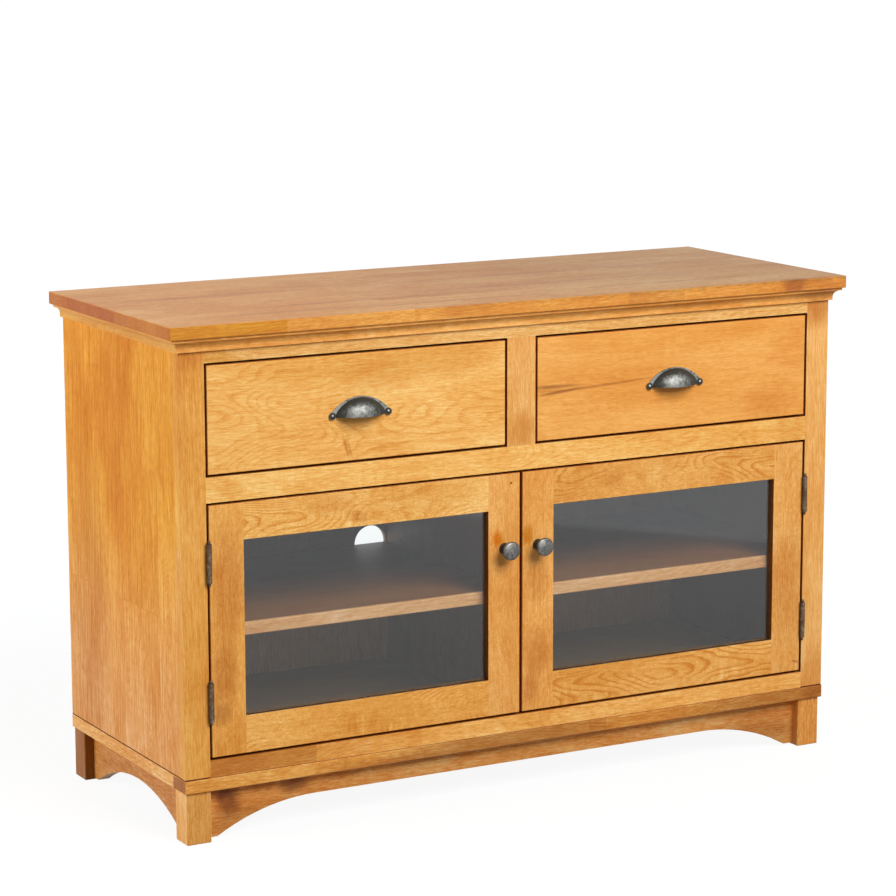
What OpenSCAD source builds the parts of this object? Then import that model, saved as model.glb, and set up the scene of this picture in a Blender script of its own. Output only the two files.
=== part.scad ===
// TV stand: a face-framed case on a low arched base, with two inset drawers over two glass doors.
// The front faces -Y, the floor is z = 0, and x = 0 is the middle of the case.
// Pieces are drawn with y = 0 on the face of the frame; at_origin() then centres the whole depth.

/* [Case] */
// Width across the case sides
case_w = 1175; // [1000:1:1500]
// Depth from the face of the frame to the back edge of the sides
case_d = 447; // [380:1:600]
// Thickness of sides, bottom, partition and shelves
board_t = 19; // [16:0.5:25]
// Thickness of the back panel
back_t = 9; // [6:0.5:12]
// Depth of the grooves and rabbets that hold one board in another
housing = 6; // [4:0.5:9]
// Thickness of the dust panel under the drawers
dust_t = 12; // [9:0.5:18]

/* [Top] */
// Thickness of the top
top_t = 20; // [16:0.5:32]
// How far the top reaches past the front and the sides of the case
top_overhang = 21; // [18:0.5:40]
// How far the top reaches past the back of the case
top_back = 6; // [0:0.5:25]
// Width of the small bevel on free edges
ease = 1.2; // [0.5:0.1:2.5]
// Height of the crown moulding
crown_h = 21; // [18:0.5:32]
// How far the crown moulding stands out from the case
crown_reach = 16; // [14:0.5:18]
// Radius of the hollow in the crown moulding
crown_cove_r = 11; // [7:0.5:12]
// Height of the fillet at the top of the crown moulding
crown_fillet = 4.5; // [2:0.5:6]

/* [Face frame] */
// Thickness of the face frame
frame_t = 19; // [16:0.5:25]
// Width of the outer stiles
stile_w = 42; // [35:0.5:70]
// Width of the mullion between the drawers
mullion_w = 51; // [40:0.5:80]
// Height of the top rail
top_rail_h = 40; // [30:0.5:70]
// Height of the rail between drawers and doors
mid_rail_h = 39; // [25:0.5:70]
// Height of the rail under the doors
bottom_rail_h = 27; // [26:0.5:70]
// Height of the opening for each drawer
drawer_open_h = 173; // [140:1:220]
// Height of the opening for the doors
door_open_h = 398; // [320:1:520]
// Gap round drawer fronts and doors
reveal = 3.5; // [3:0.1:5]
// Gap between the two doors
meeting_gap = 4; // [3:0.1:6]
// Length of the tenons of the face frame
frame_tenon = 20; // [12:1:24]
// Wood left above and below a tenon
shoulder = 6; // [4:0.5:8]
// Thickness of all tenons
tenon_t = 6; // [5:0.5:7]
// Space left between a tenon's end and its mortise
glue_space = 0.5; // [0.2:0.1:1.5]

/* [Base] */
// Height of the legs
leg_h = 82; // [60:1:150]
// Side of the square legs
leg_w = 41; // [39:0.5:60]
// How far the legs stand back from the case front and sides
leg_inset = 3; // [0:0.5:10]
// Thickness of the flat base rails
base_t = 21; // [15:0.5:32]
// Width of the flat base rails
base_w = 44; // [35:0.5:70]
// How far the base rails stand out in front of the case
base_front = 2; // [0:0.5:8]
// How far the base rails stand out beside the case
base_side = 1; // [0:0.5:8]
// Thickness of the aprons
apron_t = 19; // [14:0.5:22]
// How far the aprons stand back from the faces of the legs
apron_recess = 16; // [2:0.5:17]
// Height of the aprons above the crown of their arches
apron_h = 34.5; // [25:0.5:50]
// Space between the floor and the toes of the aprons
toe_space = 3; // [2:0.5:10]
// Width of the flat toes of the arched aprons
toe_w = 17; // [8:0.5:40]
// Length of the tenons of the aprons
apron_tenon = 11; // [6:0.5:12]
// Radius of the ends of the front arch
front_arch_r = 338; // [200:1:450]

/* [Drawers] */
// Thickness of the drawer fronts
front_t = 19; // [17:0.5:25]
// Thickness of the drawer sides
side_t = 15; // [12:0.5:18]
// Height of the drawer sides
side_h = 145; // [100:1:160]
// Height of the drawer sides' lower edge above the middle rail
side_lift = 8; // [4:0.5:14]
// Thickness of the drawer backs
drawer_back_t = 12; // [9:0.5:15]
// Thickness of the drawer bottoms
drawer_bottom_t = 6; // [4:0.5:9]
// Height of the drawer bottoms above the sides' lower edge
bottom_lift = 10; // [6:0.5:20]
// Space between a closed drawer and the back panel
drawer_back_space = 12; // [5:1:60]
// Wood left in front of the dovetails
lap = 5; // [3:0.5:8]
// Spacing of the dovetails
tail_pitch = 29; // [24:0.5:40]
// Width of a dovetail at its root
tail_w = 16; // [10:0.5:18]
// Run of a dovetail's flank for one unit of flare
tail_slope = 7; // [5:0.5:9]
// Height of the tongue on each drawer runner
tongue_h = 17.4; // [12:0.1:24]
// How far each tongue reaches into its drawer side
tongue_d = 6; // [4:0.5:8]
// Height of the block of each drawer runner
runner_h = 56; // [40:1:90]
// Play of the drawer at its runners
runner_play = 0.3; // [0.2:0.05:0.6]
// Wood left behind the housings of the drawer backs
back_stand = 8; // [4:0.5:20]
// Distance from the drawer front to the closed end of the runner groove
groove_stop = 12; // [6:1:30]

/* [Doors] */
// Thickness of the door frames
door_t = 19; // [18:0.5:25]
// Width of the door stiles
door_stile_w = 57.5; // [45:0.5:80]
// Height of the doors' top rails
door_top_h = 57.5; // [45:0.5:90]
// Height of the doors' bottom rails
door_bottom_h = 59.5; // [45:0.5:90]
// Depth of the glass behind the face of the door
glass_inset = 8; // [5:0.5:9]
// Thickness of the glass
glass_t = 3; // [2:0.5:5]
// Width of the rabbet that holds the glass
rabbet_w = 8; // [5:0.5:10]
// Space round the glass in its rabbet
glass_play = 1; // [0.3:0.1:2]
// Space at the ends of the upright glass stops
stop_space = 0.2; // [0.1:0.1:1]
// Length of the tenons of the door rails
door_tenon = 30; // [20:1:40]

/* [Shelves] */
// Thickness of the shelves
shelf_t = 20; // [16:0.5:25]
// Height of the shelves' upper faces above the bottom rail
shelf_z = 203; // [120:1:300]
// Distance from the doors' back faces to the shelves
shelf_setback = 2; // [1:0.5:60]
// Space at each end of a shelf
shelf_play = 1; // [0.5:0.1:3]
// Diameter of the shelf-pin holes
pin_d = 5; // [4:0.1:7]
// Spacing of the shelf-pin holes
pin_pitch = 32; // [24:1:50]
// Holes above and below the pins in use
pin_spare = 2; // [1:1:3]
// Distance of the pin rows from the front and back of the shelves
pin_inset = 50; // [30:1:90]
// Depth of the shelf-pin holes
pin_depth = 7.5; // [5:0.5:7.5]
// How far the shelf pins reach under the shelves
pin_reach = 9; // [6:0.5:14]
// Flat filed on a shelf pin, where the shelf rests
pin_flat = 0.5; // [0.3:0.1:1]

/* [Cable holes] */
// Diameter of the cable holes in the back panel
cable_d = 60; // [30:1:65]
// Distance from the partition to the edge of each cable hole
cable_edge = 2.5; // [1:0.5:200]
// Height of the cable holes' centres above the bottom rail
cable_z = 203; // [120:1:250]

/* [Cup pulls] */
// Distance between the centres of a pull's screw ears
pull_spacing = 96; // [90:1:128]
// Length of a pull's hollow cup
cup_l = 88; // [70:1:88]
// Height and depth of a pull's hollow cup
cup_r = 24.5; // [18:0.5:30]
// How far the cup's lower edge hangs below the middle of the ears
cup_dip = 2; // [0:0.5:5]
// How far the axis of a pull's round cup lies behind the drawer front
cup_sink = 1.5; // [1:0.1:3]
// Wall of a pull's cup
cup_wall = 2; // [1.5:0.1:3]
// Width of the flat rim at the top of the cup
rim_w = 3; // [2:0.5:5]
// How far the rim's outline reaches past the middle of each ear
rim_end = 5; // [3:0.1:5.4]
// Thickness of the flat rim
rim_t = 2; // [1.5:0.1:3]
// Radius of the domed screw heads on the ears
screw_r = 3.6; // [3:0.1:3.9]
// Height of the domed screw heads on the ears
screw_dome = 1.8; // [1:0.1:3]
// Radius of the screw ears
ear_r = 5.6; // [5:0.1:7]
// Thickness of the screw ears
ear_t = 3; // [2.5:0.1:5]
// Distance from the drawer front's middle down to the ears
pull_drop = 11; // [5:0.5:20]

/* [Knobs] */
// Diameter of the knobs
knob_d = 30; // [24:0.5:38]
// How far the knobs stand out from the doors
knob_reach = 28; // [20:0.5:30]
// Thickness of a knob's head at its edge
knob_edge = 8; // [6:0.5:11]
// Height of the dome on a knob's face
knob_dome = 1.5; // [1:0.1:4]
// Radius of a knob's neck
neck_r = 6; // [4:0.5:8]
// Radius of a knob's foot
foot_r = 9; // [8.5:0.5:11]
// Thickness of a knob's foot
foot_t = 3; // [2:0.5:4]
// Height of the knobs above the bottom edge of the doors
knob_z = 271; // [100:1:300]

/* [Hinges] */
// Length of a hinge's leaves
leaf_l = 60; // [50:1:76]
// Width of a hinge's leaves
leaf_w = 16; // [12:0.5:18]
// Thickness of a hinge's leaves
leaf_t = 1.3; // [1:0.1:1.4]
// Radius of a hinge's barrel
barrel_r = 4.2; // [3.2:0.1:5]
// Radius of a hinge's pin
hinge_pin_r = 2; // [1.5:0.1:2.4]
// Running clearance round a hinge's pin
pin_clear = 0.05; // [0.02:0.01:0.1]
// Space between two knuckles
knuckle_gap = 0.2; // [0.1:0.05:0.4]
// Space between the barrel and the face of the frame
barrel_space = 0.3; // [0.2:0.05:1]
// Radius of the balls on a hinge's ends
tip_r = 2.6; // [2.4:0.1:3.6]
// Distance from a hinge's middle to the end of the door
hinge_inset = 88; // [60:1:120]
// Number of knuckles on a hinge
knuckles = 5; // [3:2:7]

/* [Hidden] */

// Colours of the finishes
honey = "#dca862";
amber = "#c98f4c";
shade = "#a8733c";
pale = "#d9b98c";
pewter = "#6d6862";
bronze = "#4a4038";
pane = "#9aa0a080";

// Facets of the round pieces
$fn = 64;
// How far a cut runs past the face that it opens
over = 1;

// Heights above the floor
base_z = leg_h + base_t;
open_z = base_z + bottom_rail_h;
mid_z = open_z + door_open_h;
drawer_z = mid_z + mid_rail_h;
head_z = drawer_z + drawer_open_h;
top_z = head_z + top_rail_h;

// Half widths from the middle
case_x = case_w / 2;
inner_x = case_x - board_t;
open_x = case_x - stile_w;
mullion_x = mullion_w / 2;
part_x = board_t / 2;
leg_x = case_x - leg_inset - leg_w;
apron_x = case_x - leg_inset - apron_recess;

// Depths behind the face of the frame
panel_y = case_d - back_t;
leg_back_y = case_d - leg_w;
front_leg_y = leg_inset + leg_w;
apron_front_y = leg_inset + apron_recess;
shelf_y = door_t + shelf_setback;
shelf_back_y = panel_y - shelf_play;
frame_tenon_y = [(frame_t - tenon_t) / 2, (frame_t + tenon_t) / 2];

// Shelves, their pins and the cable holes
shelf_zz = [open_z + shelf_z - shelf_t, open_z + shelf_z];
pin_r = pin_d / 2;
pin_z = shelf_zz[0] - pin_r + pin_flat;
pin_ys = [shelf_y + pin_inset, shelf_back_y - pin_inset];
cable_x = part_x + cable_edge + cable_d / 2;

// Arches of the aprons
arch_z = leg_h - apron_h;
arch_rise = arch_z - toe_space;
front_arch_end = sqrt(pow(front_arch_r, 2) - pow(front_arch_r - arch_rise, 2));
front_flat = leg_x - toe_w - front_arch_end;
side_span = (leg_back_y - front_leg_y) / 2;
side_mid = (leg_back_y + front_leg_y) / 2;
side_arch_r = (pow(side_span - toe_w, 2) + pow(arch_rise, 2)) / (2 * arch_rise);

// The whole depth runs from the longer of pull and knob to the back of the top
front_reach = max(cup_r, knob_reach, top_overhang);
origin_y = (front_reach - case_d - top_back) / 2;

// Right-hand drawer
drawer_x = [mullion_x + reveal, open_x - reveal];
drawer_zz = [drawer_z + reveal, head_z - reveal];
box_y = panel_y - drawer_back_space;
box_z = drawer_z + side_lift;
tail_n = max(2, floor(side_h / tail_pitch));
groove_z = box_z + side_h / 2;
bottom_z = box_z + bottom_lift;
drawer_mid_x = (drawer_x[0] + drawer_x[1]) / 2;
pull_z = (drawer_zz[0] + drawer_zz[1]) / 2 - pull_drop;

// Right-hand door
door_x = [meeting_gap / 2, open_x - reveal];
door_zz = [open_z + reveal, mid_z - reveal];
glass_x = [door_x[0] + door_stile_w, door_x[1] - door_stile_w];
glass_zz = [door_zz[0] + door_bottom_h, door_zz[1] - door_top_h];
pocket_x = [glass_x[0] - rabbet_w, glass_x[1] + rabbet_w];
pocket_zz = [glass_zz[0] - rabbet_w, glass_zz[1] + rabbet_w];
door_tenon_y = [(door_t - tenon_t) / 2, (door_t + tenon_t) / 2];
knob_x = door_x[0] + door_stile_w / 2;

// Hinges
axis_x = open_x - reveal / 2;
axis_y = -barrel_r - barrel_space;
knuckle_l = leaf_l / knuckles;
hinge_zs = [door_zz[0] + hinge_inset, door_zz[1] - hinge_inset];

// Moves the design so that its depth is centred on the origin
module at_origin() {
    translate([0, origin_y, 0]) children();
}

// Draws the right-hand piece (side 1) or its mirror image (side -1)
module hand(side) {
    if (side > 0) children();
    else mirror([1, 0, 0]) children();
}

// A square-edged board between three pairs of limits
module board(x, y, z) {
    translate([x[0], y[0], z[0]])
        cube([x[1] - x[0], y[1] - y[0], z[1] - z[0]]);
}

// A rectangle with its four corners cut off
module eased_rect(a, b, e) {
    polygon([
        [a[0] + e, b[0]], [a[1] - e, b[0]], [a[1], b[0] + e], [a[1], b[1] - e],
        [a[1] - e, b[1]], [a[0] + e, b[1]], [a[0], b[1] - e], [a[0], b[0] + e]
    ]);
}

// A board whose twelve edges are bevelled
module eased_board(x, y, z) {
    intersection() {
        translate([0, 0, z[0]])
            linear_extrude(z[1] - z[0]) eased_rect(x, y, ease);
        translate([0, y[1], 0]) rotate([90, 0, 0])
            linear_extrude(y[1] - y[0]) eased_rect(x, z, ease);
        translate([x[0], 0, 0]) rotate([90, 0, 90])
            linear_extrude(x[1] - x[0]) eased_rect(y, z, ease);
    }
}

// Extrudes an outline drawn in depth and height along the width
module along_x(x) {
    translate([x[0], 0, 0]) rotate([90, 0, 90])
        linear_extrude(x[1] - x[0]) children();
}

// Extrudes an outline drawn in width and height along the depth
module along_y(y) {
    translate([0, y[1], 0]) rotate([90, 0, 0])
        linear_extrude(y[1] - y[0]) children();
}

// Top, with eased edges
module top() {
    color(honey) at_origin()
        eased_board([-case_x - top_overhang, case_x + top_overhang],
            [-top_overhang, case_d + top_back], [top_z, top_z + top_t]);
}

// Section of the crown: distance out from the case, height up to the top
module crown_section() {
    cove_z = -crown_fillet - crown_cove_r;
    difference() {
        translate([0, -crown_h]) square([crown_reach, crown_h]);
        translate([crown_reach, cove_z]) circle(crown_cove_r);
        translate([crown_reach - crown_cove_r, -crown_h - over])
            square([crown_cove_r + over, crown_h + cove_z + over]);
    }
}

// Crown along the front, mitred at both ends
module crown_front() {
    reach = case_x + crown_reach;
    color(honey) at_origin() intersection() {
        along_x([-reach, reach])
            translate([0, top_z]) mirror([1, 0]) crown_section();
        linear_extrude(top_z)
            polygon([[-case_x, 0], [case_x, 0], [reach, -crown_reach], [-reach, -crown_reach]]);
    }
}

// Crown along one side, mitred at the front
module crown_side(side) {
    reach = case_x + crown_reach;
    color(honey) at_origin() hand(side) intersection() {
        along_y([-crown_reach, case_d])
            translate([case_x, top_z]) crown_section();
        linear_extrude(top_z)
            polygon([[case_x, 0], [reach, -crown_reach], [reach, case_d], [case_x, case_d]]);
    }
}

module crown_left() { crown_side(-1); }
module crown_right() { crown_side(1); }

// One row of shelf-pin holes on each pin line, drilled from x to the right
module pin_holes(x, depth) {
    for (y = pin_ys, k = [-pin_spare : pin_spare])
        translate([x, y, pin_z + k * pin_pitch]) rotate([0, 90, 0])
            cylinder(r = pin_r, h = depth);
}

// Side panel: rabbet for the back, housings for bottom and dust panel, shelf-pin holes
module case_side(side) {
    groove_x = [inner_x - over, inner_x + housing];
    color(amber) at_origin() hand(side) difference() {
        board([inner_x, case_x], [frame_t, case_d], [base_z, top_z]);
        board(groove_x, [panel_y, case_d + over], [base_z - over, top_z + over]);
        board(groove_x, [frame_t - over, panel_y + over], [open_z - board_t, open_z]);
        board(groove_x, [frame_t - over, panel_y + over], [drawer_z - dust_t, drawer_z]);
        pin_holes(inner_x - over, pin_depth + over);
    }
}

module side_left() { case_side(-1); }
module side_right() { case_side(1); }

// Tenons on both ends of a frame rail, or their mortises with the glue space added
module frame_tenons(z, space) {
    board([-open_x - frame_tenon - space, open_x + frame_tenon + space],
        frame_tenon_y, [z[0] + shoulder, z[1] - shoulder]);
}

// Outer stile of the face frame with its three mortises
module frame_stile(side) {
    color(honey) at_origin() hand(side) difference() {
        board([open_x, case_x], [0, frame_t], [base_z, top_z]);
        frame_tenons([base_z, open_z], glue_space);
        frame_tenons([mid_z, drawer_z], glue_space);
        frame_tenons([head_z, top_z], glue_space);
    }
}

module frame_stile_left() { frame_stile(-1); }
module frame_stile_right() { frame_stile(1); }

// Rail of the face frame with a tenon on each end
module frame_rail(z) {
    board([-open_x, open_x], [0, frame_t], z);
    frame_tenons(z, 0);
}

// Tenons of the mullion, or their mortises
module mullion_tenons(space) {
    board([-mullion_x + shoulder, mullion_x - shoulder], frame_tenon_y,
        [drawer_z - frame_tenon - space, head_z + frame_tenon + space]);
}

module frame_top_rail() {
    color(honey) at_origin() difference() {
        frame_rail([head_z, top_z]);
        mullion_tenons(glue_space);
    }
}

module frame_mid_rail() {
    color(honey) at_origin() difference() {
        frame_rail([mid_z, drawer_z]);
        mullion_tenons(glue_space);
    }
}

module frame_bottom_rail() {
    color(honey) at_origin() frame_rail([base_z, open_z]);
}

module frame_mullion() {
    color(honey) at_origin() {
        board([-mullion_x, mullion_x], [0, frame_t], [drawer_z, head_z]);
        mullion_tenons(0);
    }
}

// Partition between the media bays, drilled for shelf pins from both sides
module centre_partition() {
    color(pale) at_origin() difference() {
        board([-part_x, part_x], [shelf_y, panel_y], [open_z, drawer_z - dust_t]);
        pin_holes(-part_x - over, pin_depth + over);
        pin_holes(part_x - pin_depth, pin_depth + over);
    }
}

module drawer_divider() {
    color(pale) at_origin()
        board([-part_x, part_x], [frame_t, panel_y], [drawer_z, top_z]);
}

// Board housed in both sides
module housed_board(z) {
    board([-inner_x - housing, inner_x + housing], [frame_t, panel_y], z);
}

module dust_panel() {
    color(pale) at_origin() housed_board([drawer_z - dust_t, drawer_z]);
}

module case_bottom() {
    color(pale) at_origin() housed_board([open_z - board_t, open_z]);
}

// Back panel in the rabbets of the sides, with a cable hole for each bay
module back_panel() {
    color(pale) at_origin() difference() {
        board([-inner_x - housing, inner_x + housing], [panel_y, case_d], [base_z, top_z]);
        for (x = [-cable_x, cable_x])
            translate([x, case_d + over, open_z + cable_z]) rotate([90, 0, 0])
                cylinder(r = cable_d / 2, h = back_t + 2 * over);
    }
}

// Shelf of one bay
module shelf(side) {
    color(pale) at_origin() hand(side)
        eased_board([part_x + shelf_play, inner_x - shelf_play],
            [shelf_y, shelf_back_y], shelf_zz);
}

module shelf_left() { shelf(-1); }
module shelf_right() { shelf(1); }

// Shelf pin in a hole at the origin, reaching along +X, flat where the shelf rests
module shelf_pin() {
    intersection() {
        translate([-pin_depth + glue_space, 0, 0]) rotate([0, 90, 0])
            cylinder(r = pin_r, h = pin_depth - glue_space + pin_reach);
        union() {
            board([-pin_depth, 0], [-pin_r, pin_r], [-pin_r, pin_r]);
            board([0, pin_reach], [-pin_r, pin_r], [-pin_r, pin_r - pin_flat]);
        }
    }
}

module shelf_pins() {
    color(bronze) at_origin()
        for (side = [-1, 1], y = pin_ys) hand(side) {
            translate([part_x, y, pin_z]) shelf_pin();
            translate([inner_x, y, pin_z]) mirror([1, 0, 0]) shelf_pin();
        }
}

// Plinth frame: flat rails under the case
module base_rail_front() {
    color(honey) at_origin()
        eased_board([-case_x - base_side, case_x + base_side],
            [-base_front, base_w - base_front], [leg_h, base_z]);
}

module base_rail_back() {
    end_x = case_x + base_side - base_w;
    color(honey) at_origin()
        eased_board([-end_x, end_x], [case_d - base_w, case_d], [leg_h, base_z]);
}

module base_rail_side(side) {
    color(honey) at_origin() hand(side)
        eased_board([case_x + base_side - base_w, case_x + base_side],
            [base_w - base_front, case_d], [leg_h, base_z]);
}

module base_rail_left() { base_rail_side(-1); }
module base_rail_right() { base_rail_side(1); }

// Tenons of the two long aprons, or their mortises
module long_tenons(y, space) {
    board([-leg_x - apron_tenon - space, leg_x + apron_tenon + space],
        [y + (apron_t - tenon_t) / 2, y + (apron_t + tenon_t) / 2],
        [arch_z, leg_h - shoulder]);
}

// Tenons of a side apron, or their mortises
module side_tenons(space) {
    board([apron_x - (apron_t + tenon_t) / 2, apron_x - (apron_t - tenon_t) / 2],
        [front_leg_y - apron_tenon - space, leg_back_y + apron_tenon + space],
        [arch_z, leg_h - shoulder]);
}

// Square leg with a mortise in each inner face
module leg(side, y) {
    color(amber) at_origin() hand(side) difference() {
        eased_board([leg_x, leg_x + leg_w], y, [0, leg_h]);
        long_tenons(apron_front_y, glue_space);
        long_tenons(case_d - apron_recess - apron_t, glue_space);
        side_tenons(glue_space);
    }
}

module leg_front_left() { leg(-1, [leg_inset, front_leg_y]); }
module leg_front_right() { leg(1, [leg_inset, front_leg_y]); }
module leg_back_left() { leg(-1, [leg_back_y, case_d]); }
module leg_back_right() { leg(1, [leg_back_y, case_d]); }

// Outline of an arched apron, with a straight stretch between two arcs
module arched(span, flat, r) {
    difference() {
        translate([-span, toe_space]) square([2 * span, leg_h - toe_space]);
        translate([-flat, 0]) square([2 * flat, arch_z]);
        for (x = [-flat, flat]) translate([x, arch_z - r]) circle(r, $fn = 180);
    }
}

module apron_front() {
    color(amber) at_origin() {
        along_y([apron_front_y, apron_front_y + apron_t])
            arched(leg_x, front_flat, front_arch_r);
        long_tenons(apron_front_y, 0);
    }
}

// The back apron is a plain board
module apron_back() {
    y = case_d - apron_recess - apron_t;
    color(amber) at_origin() {
        board([-leg_x, leg_x], [y, y + apron_t], [arch_z, leg_h]);
        long_tenons(y, 0);
    }
}

module apron_side(side) {
    color(amber) at_origin() hand(side) {
        along_x([apron_x - apron_t, apron_x])
            translate([side_mid, 0]) arched_side();
        side_tenons(0);
    }
}

// Outline of a side apron: one arc from toe to toe
module arched_side() {
    difference() {
        translate([-side_span, toe_space]) square([2 * side_span, leg_h - toe_space]);
        translate([0, arch_z - side_arch_r]) circle(side_arch_r, $fn = 180);
    }
}

module apron_left() { apron_side(-1); }
module apron_right() { apron_side(1); }

// Runner of a drawer: a block on the case and a tongue in the drawer side's groove
module runner(block_x, tongue_x) {
    board(block_x, [frame_t, box_y],
        [groove_z - runner_h / 2, groove_z + runner_h / 2]);
    board(tongue_x, [front_t + groove_stop + runner_play, box_y],
        [groove_z - tongue_h / 2, groove_z + tongue_h / 2]);
}

module drawer_runners() {
    color(pale) at_origin() for (side = [-1, 1]) hand(side) {
        runner([drawer_x[1] + runner_play, inner_x],
            [drawer_x[1] - tongue_d, drawer_x[1] + runner_play + over]);
        runner([part_x, drawer_x[0] - runner_play],
            [drawer_x[0] - runner_play - over, drawer_x[0] + tongue_d]);
    }
}

// Dovetails in depth and height, from the back of the drawer front to its lap
module tails() {
    flare = (front_t - lap) / tail_slope;
    for (i = [0 : tail_n - 1]) {
        z = box_z + (i + 0.5) * side_h / tail_n;
        polygon([
            [front_t, z - tail_w / 2], [lap, z - tail_w / 2 - flare],
            [lap, z + tail_w / 2 + flare], [front_t, z + tail_w / 2]
        ]);
    }
}

// Grooves that hold a drawer's bottom
module bottom_groove() {
    board([drawer_x[0] + side_t - housing, drawer_x[1] - side_t + housing],
        [front_t - housing, box_y + over], [bottom_z, bottom_z + drawer_bottom_t]);
}

module drawer_front(side) {
    color(honey) at_origin() hand(side) difference() {
        eased_board(drawer_x, [0, front_t], drawer_zz);
        along_x([drawer_x[0] - over, drawer_x[0] + side_t]) tails();
        along_x([drawer_x[1] - side_t, drawer_x[1] + over]) tails();
        bottom_groove();
    }
}

// Two sides of a drawer, dovetailed at the front, grooved for runner, bottom and back
module drawer_sides(side) {
    color(pale) at_origin() hand(side) difference() {
        for (x = [drawer_x[0], drawer_x[1] - side_t]) along_x([x, x + side_t]) {
            translate([front_t, box_z]) square([box_y - front_t, side_h]);
            tails();
        }
        for (x = drawer_x)
            board([x - tongue_d - runner_play, x + tongue_d + runner_play],
                [front_t + groove_stop, box_y + over],
                [groove_z - tongue_h / 2 - runner_play, groove_z + tongue_h / 2 + runner_play]);
        bottom_groove();
        drawer_back_board(over);
    }
}

// Drawer back above the bottom; its housings in the sides run out at the top
module drawer_back_board(rise) {
    board([drawer_x[0] + side_t - housing, drawer_x[1] - side_t + housing],
        [box_y - back_stand - drawer_back_t, box_y - back_stand],
        [bottom_z + drawer_bottom_t, box_z + side_h - (rise > 0 ? -rise : ease)]);
}

module drawer_back(side) {
    color(pale) at_origin() hand(side) drawer_back_board(0);
}

module drawer_bottom(side) {
    color(pale) at_origin() hand(side)
        board([drawer_x[0] + side_t - housing, drawer_x[1] - side_t + housing],
            [front_t - housing, box_y], [bottom_z, bottom_z + drawer_bottom_t]);
}

// Cup pull: part of a revolved shell, a flat rim like a crescent and two screw ears
module pull(side) {
    dome_r = (pow(cup_l / 2, 2) + pow(cup_r, 2)) / (2 * cup_r);
    sink = dome_r - cup_r;
    rim_h = cup_r + rim_w;
    rim_r = (pow(pull_spacing / 2 + rim_end, 2) + pow(rim_h, 2)) / (2 * rim_h);
    color(pewter) at_origin() hand(side) translate([drawer_mid_x, 0, pull_z]) {
        intersection() {
            translate([0, cup_sink, 0]) rotate([0, 90, 0]) rotate_extrude() intersection() {
                translate([cup_sink - sink, 0]) difference() {
                    circle(dome_r);
                    circle(dome_r - cup_wall);
                }
                translate([cup_sink / 2, -cup_l / 2]) square([cup_r + cup_sink, cup_l]);
            }
            board([-cup_l, cup_l], [-cup_r - over, 0], [-cup_dip, cup_l]);
        }
        along_y([-rim_t, 0]) intersection() {
            difference() {
                translate([0, rim_h - rim_r]) circle(rim_r);
                translate([0, -sink]) circle(dome_r - cup_wall / 2);
            }
            translate([-rim_r, 0]) square([2 * rim_r, rim_h + over]);
        }
        for (x = [-1, 1]) translate([x * pull_spacing / 2, 0, 0]) ear();
    }
}

// Screw ear with a domed head
module ear() {
    head_r = (pow(screw_r, 2) + pow(screw_dome, 2)) / (2 * screw_dome);
    rotate([90, 0, 0]) {
        cylinder(r = ear_r, h = ear_t);
        intersection() {
            translate([0, 0, ear_t + screw_dome - head_r]) sphere(head_r);
            translate([0, 0, ear_t - over]) cylinder(r = ear_r, h = screw_dome + over);
        }
    }
}

module drawer_left_front() { drawer_front(-1); }
module drawer_left_sides() { drawer_sides(-1); }
module drawer_left_back() { drawer_back(-1); }
module drawer_left_bottom() { drawer_bottom(-1); }
module drawer_left_pull() { pull(-1); }
module drawer_right_front() { drawer_front(1); }
module drawer_right_sides() { drawer_sides(1); }
module drawer_right_back() { drawer_back(1); }
module drawer_right_bottom() { drawer_bottom(1); }
module drawer_right_pull() { pull(1); }

// Tenons of the door's top or bottom rail, or their mortises
module door_tenons(z, space) {
    board([glass_x[0] - door_tenon - space, glass_x[1] + door_tenon + space],
        door_tenon_y, z);
}

top_tenon_z = [pocket_zz[1] + over, door_zz[1] - shoulder];
bottom_tenon_z = [door_zz[0] + shoulder, pocket_zz[0] - over];

// Keeps a member inside the eased outline of the door and cuts the glass rabbet in it
module door_member(side) {
    color(honey) at_origin() hand(side) difference() {
        intersection() {
            children();
            eased_board(door_x, [0, door_t], door_zz);
        }
        board(pocket_x, [glass_inset, door_t + over], pocket_zz);
    }
}

module door_stile(x) {
    difference() {
        board(x, [0, door_t], door_zz);
        door_tenons(top_tenon_z, glue_space);
        door_tenons(bottom_tenon_z, glue_space);
    }
}

module door_rail(z, tenon_z) {
    board(glass_x, [0, door_t], z);
    door_tenons(tenon_z, 0);
}

module door_hinge_stile(side) {
    door_member(side) door_stile([glass_x[1], door_x[1]]);
}

module door_meeting_stile(side) {
    door_member(side) door_stile([door_x[0], glass_x[0]]);
}

module door_top_rail(side) {
    door_member(side) door_rail([glass_zz[1], door_zz[1]], top_tenon_z);
}

module door_bottom_rail(side) {
    door_member(side) door_rail([door_zz[0], glass_zz[0]], bottom_tenon_z);
}

module door_glass(side) {
    color(pane) at_origin() hand(side)
        board([pocket_x[0] + glass_play, pocket_x[1] - glass_play],
            [glass_inset, glass_inset + glass_t],
            [pocket_zz[0] + glass_play, pocket_zz[1] - glass_play]);
}

// Four strips that hold the glass from the back
module door_stops(side) {
    y = [glass_inset + glass_t, door_t];
    upright_z = [glass_zz[0] + stop_space, glass_zz[1] - stop_space];
    color(honey) at_origin() hand(side) {
        board(pocket_x, y, [pocket_zz[0], glass_zz[0]]);
        board(pocket_x, y, [glass_zz[1], pocket_zz[1]]);
        board([pocket_x[0], glass_x[0]], y, upright_z);
        board([glass_x[1], pocket_x[1]], y, upright_z);
    }
}

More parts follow.
